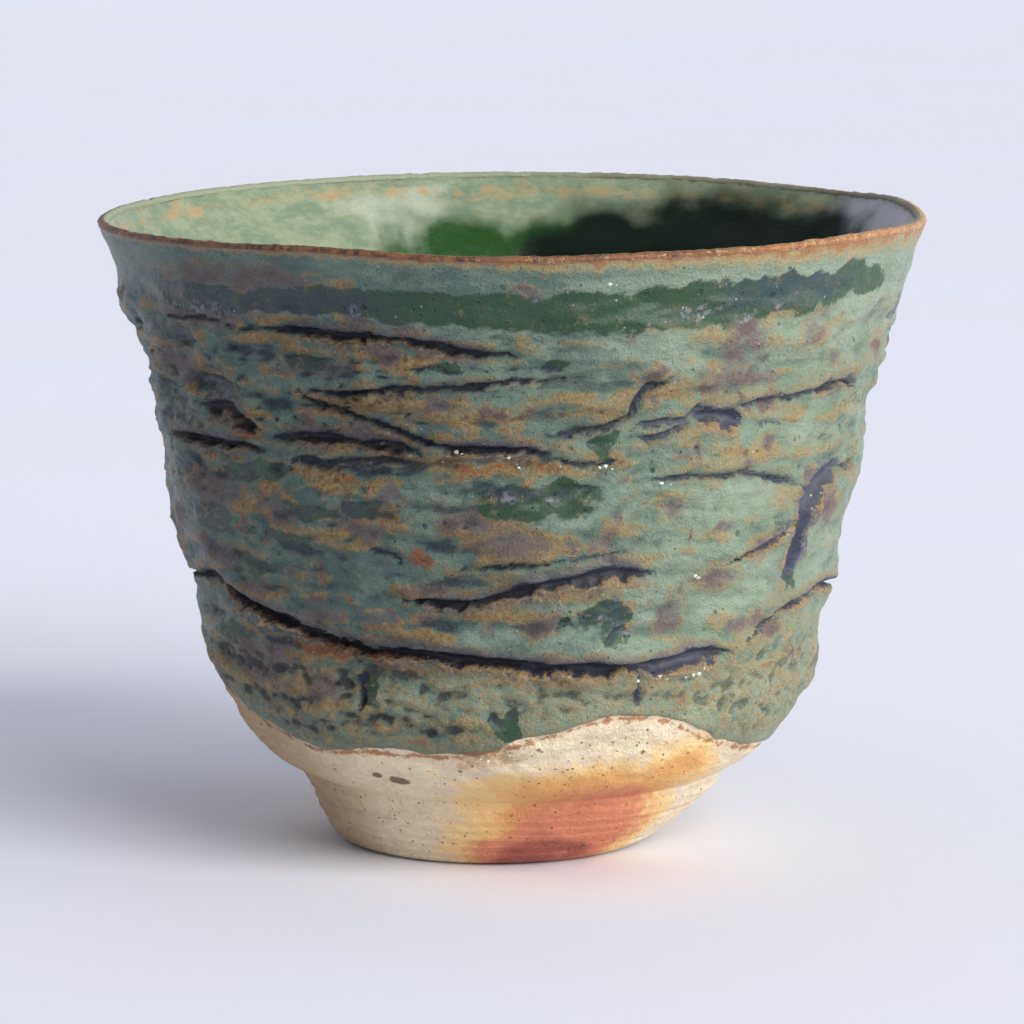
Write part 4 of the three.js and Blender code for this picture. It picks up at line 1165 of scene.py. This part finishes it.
def torn_glaze(colours):
    """Mottled green ash glaze that breaks to ochre on edges and pools blue-black in the tears."""
    look = Surface("torn_glaze")
    at = glaze_fields(look)
    colour = mottled_ground(look, colours, at)
    for layer in (gold_breaks, iron_blooms, glassy_pools, torn_places, burnt_edges, pits_and_glints):
        colour = layer(look, colours, at, colour)
    # Painted shade: the thick side away from the lamps is multiplied darker.
    colour = look.mix(at.thick, colour, colours.shaded_side_tint, "MULTIPLY")
    roughness = 0.34 + 0.2 * at.browned.step(0.2, 0.6) - 0.06 * at.glass + 0.15 * at.black
    roughness = roughness + 0.6 * at.dust - 0.4 * at.grit
    coarse = 0.7 * at.fleck + 0.4 * at.bloom + 0.4 * at.dust + (0.3 + 0.8 * at.golden) * at.grit
    height = (1 - 0.8 * at.glass.larger(at.black)) * coarse - 0.3 * at.pits
    return look.finish(colour, roughness, look.bump(height, 0.9, 0.65), {"IOR": 1.5})


def green_liner(colours):
    """Thin runny green glaze: pale and spotted with ochre near the lip, deep and glassy below, with a
    painted glare and painted shade on the back wall.
    """
    look = Surface("green_liner")
    pool, band, rim = look.marks("pool", "band", "rim")
    emerald, dark, grey, smear = look.marks("emerald", "dark", "grey", "smear")
    cloud = look.grain(3.0, detail=6, rough=0.6, stretch=2.4, shift=0.011)
    fleck = look.grain(0.7, detail=5, rough=0.65, stretch=1.5, shift=0.023)
    run = look.grain(2.4, detail=4, stretch=0.3, shift=0.037)
    spot = look.grain(1.8, detail=4, rough=0.55, stretch=2.0, shift=0.049)
    dust = look.grain(0.2, detail=3, rough=0.7, shift=0.017)
    clouded = cloud + 0.4 * run + 0.5 * fleck
    colour = look.mix(clouded.step(-0.2, 0.2), colours.liner_teal, colours.liner_sage)
    # Painted glare: a pale smear that stands for a reflection on the back wall.
    colour = look.mix((smear + 0.5 * cloud + 0.4 * fleck).step(0.1, 1.3) * 0.55, colour, colours.liner_glare)
    spotted = 0.75 * band + 1.5 * spot + 0.5 * fleck + 0.3 * dust
    colour = look.mix(spotted.step(0.25, 0.7) * 0.8, colour, colours.liner_ochre)
    colour = look.mix((spotted + 0.4 * fleck).step(0.65, 0.95) * 0.6, colour, colours.rust)
    colour = look.mix((emerald + 0.4 * run + 0.3 * fleck).step(0.25, 0.8), colour, colours.emerald)
    colour = look.mix((pool + 0.6 * run).step(0.1, 0.95), colour, colours.liner_pool)
    colour = look.mix((grey + 0.4 * cloud + 0.2 * fleck).step(0.0, 0.7) * 0.95, colour, colours.liner_grey)
    # Painted shade: the back wall towards the right, away from the lamps, turns near black green.
    colour = look.mix((dark + 0.3 * cloud + 0.2 * run).step(0.1, 0.75), colour, colours.liner_shade)
    burnt = (rim + 0.8 * fleck + 0.6 * cloud).step(0.8, 1.05)
    colour = look.mix(burnt * 0.6, colour, colours.lip_brown)
    roughness = 0.26 + 0.3 * fleck - 0.1 * pool + 0.2 * burnt + 0.1 * grey
    normal = look.bump((1 - pool) * (0.6 * fleck + 0.6 * run), 0.3, 0.35)
    return look.finish(colour, roughness, normal, {"IOR": 1.5, "Specular IOR Level": 0.16})


def iron_lip(colours):
    """Thin glaze burnt brown over the sharp lip, with dark and pale crumbs; pale green on the inside,
    darker towards the right as painted shade.
    """
    look = Surface("iron_lip")
    inner, low, right = look.marks("inner", "low", "right")
    broad = look.grain(6, detail=3, shift=0.032)
    blotch = look.grain(1.3, detail=5, rough=0.65, shift=0.077)
    crumb = look.grain(0.5, detail=4, rough=0.68, shift=0.015)
    dust = look.grain(0.18, detail=3, rough=0.7, shift=0.051)
    orange = 0.5 * right - 0.2 + broad + blotch + crumb
    colour = look.mix(orange.step(-0.25, 0.3), colours.lip_brown, colours.lip_orange)
    darker = 1.2 * blotch + 1.2 * crumb + 0.5 * dust - 0.35 * right
    colour = look.mix(darker.step(-0.12, 0.12) * 0.9, colour, colours.lip_dark)
    colour = look.mix((dust - crumb + 0.3 * right).step(0.16, 0.46) * 0.8, colour, colours.lip_pale)
    colour = look.mix((low - 0.7 * right + crumb + blotch).step(0.3, 0.8) * 0.8, colour, colours.mauve)
    # Painted shade: the inner side of the lip turns dull and dark towards the back right, away from the
    # lamps.
    inside = look.mix((right + 0.6 * broad).step(0.7, 1.05), colours.liner_sage, colours.lip_shade)
    colour = look.mix((inner + 0.5 * crumb + 0.4 * blotch).step(0.3, 0.7), colour, inside)
    roughness = 0.45 - 0.5 * crumb
    return look.finish(colour, roughness, look.bump(0.7 * crumb + 0.5 * dust, 0.7, 0.25), {"IOR": 1.5})


def bare_clay(colours, name):
    """Cream stoneware with iron specks, flashed orange and red by the fire, with painted shade on the side
    away from the lamps.
    """
    look = Surface(name)
    flash, red, maroon, stone = look.marks("flash", "red", "maroon", "stone")
    smoke, line, comb, torn = look.marks("smoke", "line", "comb", "torn")
    broad = look.grain(6, detail=5, stretch=2.5, shift=0.012)
    sand = look.grain(0.7, detail=6, rough=0.7, shift=0.029)
    dust = look.grain(0.2, detail=3, rough=0.6, shift=0.044)
    crumb = look.grain(1.4, detail=5, rough=0.65, stretch=1.6, shift=0.083)
    strokes = look.grain(1.1, detail=3, stretch=0.25, shift=0.061)
    patchy = broad + 0.6 * crumb + 0.5 * sand
    colour = look.mix(patchy.step(-0.2, 0.2), colours.clay_grey, colours.clay_cream)
    colour = look.mix((sand + 0.8 * dust).step(0.0, 0.3) * 0.7, colour, colours.clay_pale)
    colour = look.mix((crumb - sand - 0.8 * dust).step(0.08, 0.4) * 0.7, colour, colours.clay_shade)
    colour = look.mix((comb + 1.8 * strokes - 0.2).step(0.3, 0.75) * 0.6, colour, colours.flash_yellow)
    warm = flash + 0.5 * broad + 0.4 * sand + 0.5 * crumb
    colour = look.mix(warm.step(0.04, 0.35) * 0.9, colour, colours.flash_yellow)
    colour = look.mix(warm.step(0.3, 0.8) * 0.9, colour, colours.flash_orange)
    reddened = red + 0.6 * broad + 0.4 * sand + 0.5 * crumb
    colour = look.mix(reddened.step(0.1, 0.65) * 0.95, colour, colours.flash_red)
    darkest = (maroon + 0.7 * broad + 0.3 * sand).step(0.15, 0.8)
    colour = look.mix(darkest * 0.9, colour, colours.flash_maroon)
    colour = look.mix((line + sand + 1.2 * crumb).step(0.8, 1.02) * 0.85, colour, colours.edge_orange)
    rough = (0.6 * torn + 2.2 * crumb + 1.6 * sand).step(0.5, 0.8)
    colour = look.mix(rough * 0.55, colour, colours.torn_clay)
    colour = look.mix((stone + sand + 0.8 * crumb).step(0.3, 0.7) * 0.9, colour, colours.stone)
    small = look.specks(0.8, 0.14, shift=0.05) * (sand + 0.5).step(0.36, 0.56)
    large = look.specks(2.6, 0.3, shift=0.02) * (crumb + 0.3 * torn).step(0.0, 0.12)
    pits = small.larger(large)
    colour = look.mix(pits * 0.7, colour, colours.speck)
    # Painted shade: the side away from the lamps is multiplied darker.
    colour = look.mix(smoke, colour, colours.clay_shaded_side, "MULTIPLY")
    roughness = 0.84 - 0.25 * red + 0.4 * sand
    height = sand + 0.4 * dust + 0.7 * crumb - 0.8 * pits
    return look.finish(colour, roughness, look.bump(height, 0.8, 0.5), {"IOR": 1.45})


def quartz(colours):
    """Milky broken quartz, wet with glaze."""
    look = Surface("quartz_grits")
    cloud = look.grain(0.5, detail=3, shift=0.01)
    colour = look.mix(cloud.step(-0.1, 0.15), colours.quartz, colours.pale_sage)
    bumps = look.bump(look.grain(0.25, detail=3), 0.4, 0.15)
    return look.finish(colour, 0.2 + 0.6 * cloud, bumps, {"IOR": 1.54})


def stage_paper(colours):
    """Pale matt paper, faintly uneven."""
    look = Surface("stage_paper")
    colour = look.mix(look.grain(90, detail=2).step(-0.2, 0.2), colours.floor, colours.floor_warm)
    normal = look.bump(look.grain(1.2, detail=3), 0.05, 0.1)
    return look.finish(colour, 0.9, normal, {"Specular IOR Level": 0.1})


# Stage

FLOOR_RISE = 700  # how far the floor sweeps up at its rim, in mm
FLOOR_SWEEP = 1400  # distance over which it does
Lamp = namedtuple("Lamp", "angle elevation softness strength")
KEY_LAMP = Lamp(angle=42, elevation=29, softness=42, strength=2.76)
Panel = namedtuple("Panel", "angle distance height size power")
SIDE_PANEL = Panel(angle=82, distance=700, height=140, size=320, power=1.75)
SKY_LEFT, SKY_RIGHT, SKY_TOP = 0.23, 0.7, 0.76  # strength of the sky on either side and above
EYE = (0, -430, 91.9)
PITCH = 8.56  # degrees that the camera looks down
LENS = 184.5


def add_floor(scene):
    """A flat round floor that sweeps up far away on all sides."""
    flat = scene.sakecup_sizes.floor_radius / MM
    columns = 96
    share = np.linspace(0, 1, 16)[:, None]
    angle = np.radians(round_angles(columns))
    radius = np.concatenate([[[0.001], [flat / 4]], flat + FLOOR_SWEEP * share]) + 0 * angle
    height = np.concatenate([[[0], [0]], FLOOR_RISE * share**2]) + 0 * angle
    points = np.stack([radius * np.sin(angle), -radius * np.cos(angle), height], -1)
    mesh = turned_mesh("floor", points, {}, poles=True)
    mesh.materials.append(stage_paper(scene.sakecup_colours))
    floor = bpy.data.objects.new("floor", mesh)
    scene.collection.objects.link(floor)


def add_sky(scene):
    """Light from above and from the right; the left stays dim."""
    world = bpy.data.worlds.new("studio")
    scene.world = world
    world.use_nodes = True
    sky = Nodes(world.node_tree)
    colour = tuple(scene.sakecup_colours.sky)
    left = sky.node("ShaderNodeBackground", {}, {"Color": colour, "Strength": SKY_LEFT})
    right = sky.node("ShaderNodeBackground", {}, {"Color": colour, "Strength": SKY_RIGHT})
    top = sky.node("ShaderNodeBackground", {}, {"Color": colour, "Strength": SKY_TOP})
    direction = sky.node("ShaderNodeTexCoord", {}, {}, "Generated")
    across = sky.node("ShaderNodeSeparateXYZ", {}, {0: direction}, "X")
    up = sky.node("ShaderNodeSeparateXYZ", {}, {0: direction}, "Z")
    sides = sky.node("ShaderNodeMixShader", {}, {0: across.step(-0.6, 1), 1: left, 2: right})
    whole = sky.node("ShaderNodeMixShader", {}, {0: up.step(0.35, 0.9), 1: sides, 2: top})
    sky.node("ShaderNodeOutputWorld", {}, {"Surface": whole}, None)


def add_lamp(scene, name, lamp):
    """A soft lamp far away."""
    data = bpy.data.lights.new(name, "SUN")
    data.energy = lamp.strength
    data.angle = math.radians(lamp.softness)
    placed = bpy.data.objects.new(name, data)
    placed.rotation_euler = (math.radians(90 - lamp.elevation), 0, math.radians(lamp.angle))
    scene.collection.objects.link(placed)


def add_panel(scene, name, panel):
    """A square panel of light that stands low beside the cup and faces it."""
    data = bpy.data.lights.new(name, "AREA")
    data.energy = panel.power
    data.size = panel.size * MM
    placed = bpy.data.objects.new(name, data)
    turn = math.radians(panel.angle)
    place = Vector((panel.distance * math.sin(turn), -panel.distance * math.cos(turn), panel.height))
    towards_cup = Vector((0, 0, LIP_TOP / 2)) - place
    placed.location = place * MM
    placed.rotation_euler = towards_cup.to_track_quat("-Z", "Y").to_euler()
    scene.collection.objects.link(placed)


def add_camera(scene):
    """The camera of the photograph."""
    data = bpy.data.cameras.new("camera")
    data.lens = LENS
    camera = bpy.data.objects.new("camera", data)
    camera.location = Vector(EYE) * MM
    camera.rotation_euler = (math.radians(90 - PITCH), 0, 0)
    scene.collection.objects.link(camera)
    scene.camera = camera


# Sizes and colours that a user would change


def paint(red, green, blue):
    """A colour as a paint card gives it, from 0 to 255, as light."""
    levels = (red / 255, green / 255, blue / 255)
    return tuple(v / 12.92 if v <= 0.04045 else ((v + 0.055) / 1.055) ** 2.4 for v in levels)


def colour_property(name, description, red, green, blue):
    """A colour to choose, given as on a paint card."""
    default = paint(red, green, blue)
    return bpy.props.FloatVectorProperty(
        name=name, description=description, subtype="COLOR", size=3, min=0, max=1, default=default
    )


def length_property(name, description, millimetres):
    """A length to choose, given in millimetres."""
    default = millimetres * MM
    return bpy.props.FloatProperty(
        name=name, description=description, subtype="DISTANCE", unit="LENGTH", precision=5, default=default
    )


class SAKECUP_PG_sizes(bpy.types.PropertyGroup):
    """Sizes of the cup's finish and of the stage."""

    relief: length_property("Relief", "Height of the lumps and sheets of the torn glaze", 1.0)
    turning_lines: length_property("Turning lines", "Depth of the lines turned in the foot", 0.05)
    grit_scale: bpy.props.FloatProperty(
        name="Grit scale", description="Size of the quartz grits", default=1.0
    )
    floor_radius: length_property("Floor radius", "Radius of the flat part of the stage", 1600)


class SAKECUP_PG_colours(bpy.types.PropertyGroup):
    """Colours of the clay, the glazes and the stage."""

    sage: colour_property("Sage", "Outer glaze where it is clear", 139, 158, 134)
    pale_sage: colour_property("Pale sage", "Outer glaze where it is thin and clear", 164, 179, 154)
    # Mixed in more on the side away from the lamps, as painted shade.
    teal_grey: colour_property("Teal grey", "Outer glaze where it is thick", 94, 122, 110)
    moss: colour_property("Moss", "Yellowish mottling of the outer glaze", 140, 142, 106)
    slate: colour_property("Slate", "Fine dark mottling of the outer glaze", 74, 88, 104)
    mauve: colour_property("Mauve", "Iron bloom on the outer glaze", 128, 110, 106)
    umber: colour_property("Umber", "Middle of the iron blooms", 92, 72, 56)
    ochre: colour_property("Ochre", "Glaze broken thin over edges", 164, 120, 50)
    pale_ochre: colour_property("Pale ochre", "Grains in the broken glaze", 194, 166, 108)
    rust: colour_property("Rust", "Iron spots", 172, 92, 40)
    crust: colour_property("Crust", "Grey crust beside the tears", 132, 126, 134)
    tear: colour_property("Tear", "Glaze at the bottom of the tears", 32, 36, 50)
    tear_blue: colour_property("Tear blue", "Thick glaze in the wider tears", 58, 65, 82)
    # Pooled glaze in hollows and round tears, darkened further as painted shade.
    hollow_shade: colour_property("Hollow", "Glaze in small hollows", 46, 52, 61)
    # Painted highlight: pale specks that stand for glints of light on the glaze.
    glint_highlight: colour_property("Glint", "Pale grains in the outer glaze", 214, 220, 204)
    # Painted shade: darkens the side away from the lamps, where the glaze also lies thick.
    shaded_side_tint: colour_property("Thick tint", "Dulling of the outer glaze where it is thick", 206, 210, 218)
    pool_green: colour_property("Pool green", "Pooled glaze", 20, 66, 32)
    pool_teal: colour_property("Pool teal", "Pooled glaze with more cobalt", 18, 52, 56)
    olive: colour_property("Olive", "Iron in the pooled glaze", 70, 74, 46)
    edge_orange: colour_property("Edge orange", "Burnt line where glaze meets clay", 176, 112, 62)
    lip_brown: colour_property("Lip brown", "Glaze on the lip", 116, 74, 38)
    lip_orange: colour_property("Lip orange", "Thin glaze on the lip", 172, 112, 56)
    lip_dark: colour_property("Lip dark", "Iron specks on the lip", 44, 30, 24)
    lip_pale: colour_property("Lip pale", "Pale crumbs on the lip", 220, 196, 150)
    # Painted shade on the inner side of the lip.
    lip_shade: colour_property("Lip shade", "Inner side of the lip where it is dull", 120, 112, 94)
    liner_sage: colour_property("Liner sage", "Thin glaze inside", 150, 158, 128)
    liner_teal: colour_property("Liner teal", "Glaze inside", 118, 136, 112)
    # Painted glare: a reflection on the back wall inside.
    liner_glare: colour_property("Liner pale", "Clouded runs inside", 196, 200, 180)
    liner_ochre: colour_property("Liner ochre", "Spots inside", 178, 150, 102)
    emerald: colour_property("Emerald", "Thick glaze inside", 36, 74, 28)
    # Dark green glaze with painted shade where the inside lies away from the lamps.
    liner_shade: colour_property("Liner dark", "Darkest glaze inside", 8, 24, 12)
    liner_grey: colour_property("Liner grey", "Dulled glaze inside", 176, 178, 186)
    liner_pool: colour_property("Liner pool", "Glaze pooled on the floor", 30, 80, 44)
    clay_cream: colour_property("Clay cream", "Bare clay", 247, 231, 198)
    clay_grey: colour_property("Clay grey", "Bare clay in a dull patch", 231, 211, 179)
    clay_pale: colour_property("Clay pale", "Grains of the bare clay", 252, 245, 228)
    clay_shade: colour_property("Clay shade", "Dull grains of the bare clay", 206, 176, 132)
    # Painted shade on the side away from the lamps.
    clay_shaded_side: colour_property("Clay smoke", "Greyed clay at the side away from the fire", 196, 182, 172)
    flash_yellow: colour_property("Flash yellow", "Fringe of the heat flash", 250, 210, 140)
    flash_orange: colour_property("Flash orange", "Heat flash", 238, 174, 104)
    flash_red: colour_property("Flash red", "Middle of the heat flash", 220, 136, 102)
    flash_maroon: colour_property("Flash maroon", "Hottest part of the flash", 164, 86, 78)
    torn_clay: colour_property("Torn clay", "Burnt crumbs under the glaze", 196, 148, 98)
    stone: colour_property("Stone", "Stones in the clay", 118, 88, 74)
    speck: colour_property("Speck", "Iron specks in the clay", 84, 74, 64)
    quartz: colour_property("Quartz", "Quartz grits", 226, 230, 224)
    floor: colour_property("Floor", "Stage paper", 231, 232, 239)
    floor_warm: colour_property("Floor warm", "Stage paper where it is warmer", 232, 231, 236)
    sky: colour_property("Sky", "Light from all round", 228, 232, 246)


# Operators


class SAKECUP_OT_torn_coat(bpy.types.Operator):
    """Makes the torn coat of green glaze on the outside"""

    bl_idname = "sakecup.torn_coat"
    bl_label = "Torn coat"

    def execute(self, context):
        mesh = coat_mesh(context.scene.sakecup_sizes)
        add_piece(mesh, torn_glaze(context.scene.sakecup_colours), "outer_glaze")
        return {"FINISHED"}


class SAKECUP_OT_green_liner(bpy.types.Operator):
    """Makes the thin green glaze inside"""

    bl_idname = "sakecup.green_liner"
    bl_label = "Green liner"

    def execute(self, context):
        add_piece(liner_mesh(), green_liner(context.scene.sakecup_colours), "inner_glaze")
        return {"FINISHED"}


class SAKECUP_OT_iron_lip(bpy.types.Operator):
    """Makes the brown glaze on the lip"""

    bl_idname = "sakecup.iron_lip"
    bl_label = "Iron lip"

    def execute(self, context):
        add_piece(lip_mesh(), iron_lip(context.scene.sakecup_colours), "lip_glaze")
        return {"FINISHED"}


class SAKECUP_OT_clay_belly(bpy.types.Operator):
    """Makes the clay bowl with its bare belly"""

    bl_idname = "sakecup.clay_belly"
    bl_label = "Clay belly"

    def execute(self, context):
        material = bare_clay(context.scene.sakecup_colours, "bare_clay")
        add_piece(clay_mesh(), material, "clay_bowl")
        return {"FINISHED"}


class SAKECUP_OT_turned_foot(bpy.types.Operator):
    """Makes the turned foot ring"""

    bl_idname = "sakecup.turned_foot"
    bl_label = "Turned foot"

    def execute(self, context):
        mesh = foot_mesh(context.scene.sakecup_sizes)
        material = bare_clay(context.scene.sakecup_colours, "flashed_clay")
        add_piece(mesh, material, "foot_ring")
        return {"FINISHED"}


class SAKECUP_OT_quartz_grits(bpy.types.Operator):
    """Makes the white grits in the glaze"""

    bl_idname = "sakecup.quartz_grits"
    bl_label = "Quartz grits"

    def execute(self, context):
        mesh = grits_mesh(context.scene.sakecup_sizes)
        add_piece(mesh, quartz(context.scene.sakecup_colours))
        return {"FINISHED"}


class SAKECUP_OT_stage(bpy.types.Operator):
    """Makes the floor, the light and the camera"""

    bl_idname = "sakecup.stage"
    bl_label = "Stage"

    def execute(self, context):
        scene = context.scene
        add_floor(scene)
        add_sky(scene)
        add_lamp(scene, "key", KEY_LAMP)
        add_panel(scene, "side", SIDE_PANEL)
        add_camera(scene)
        scene.view_settings.view_transform = "Standard"
        return {"FINISHED"}


# Panel and registration

PIECE_OPERATORS = (
    SAKECUP_OT_torn_coat,
    SAKECUP_OT_green_liner,
    SAKECUP_OT_iron_lip,
    SAKECUP_OT_clay_belly,
    SAKECUP_OT_turned_foot,
    SAKECUP_OT_quartz_grits,
    SAKECUP_OT_stage,
)


class SAKECUP_PT_panel(bpy.types.Panel):
    """Lists the cup's pieces, sizes and colours"""

    bl_idname = "SAKECUP_PT_panel"
    bl_label = "Sake cup"
    bl_space_type = "VIEW_3D"
    bl_region_type = "UI"
    bl_category = "Sake cup"

    def draw(self, context):
        for operator in PIECE_OPERATORS:
            self.layout.operator(operator.bl_idname)
        for group in (context.scene.sakecup_sizes, context.scene.sakecup_colours):
            for name in group.bl_rna.properties.keys()[2:]:
                self.layout.prop(group, name)


CLASSES = (SAKECUP_PG_sizes, SAKECUP_PG_colours, *PIECE_OPERATORS, SAKECUP_PT_panel)


def register():
    for item in CLASSES:
        bpy.utils.register_class(item)
    bpy.types.Scene.sakecup_sizes = bpy.props.PointerProperty(type=SAKECUP_PG_sizes)
    bpy.types.Scene.sakecup_colours = bpy.props.PointerProperty(type=SAKECUP_PG_colours)


def unregister():
    del bpy.types.Scene.sakecup_colours
    del bpy.types.Scene.sakecup_sizes
    for item in reversed(CLASSES):
        bpy.utils.unregister_class(item)


def main():
    register()
    bpy.ops.sakecup.stage()
    bpy.ops.sakecup.turned_foot()
    bpy.ops.sakecup.clay_belly()
    bpy.ops.sakecup.torn_coat()
    bpy.ops.sakecup.green_liner()
    bpy.ops.sakecup.iron_lip()
    bpy.ops.sakecup.quartz_grits()


if __name__ == "__main__":
    main()
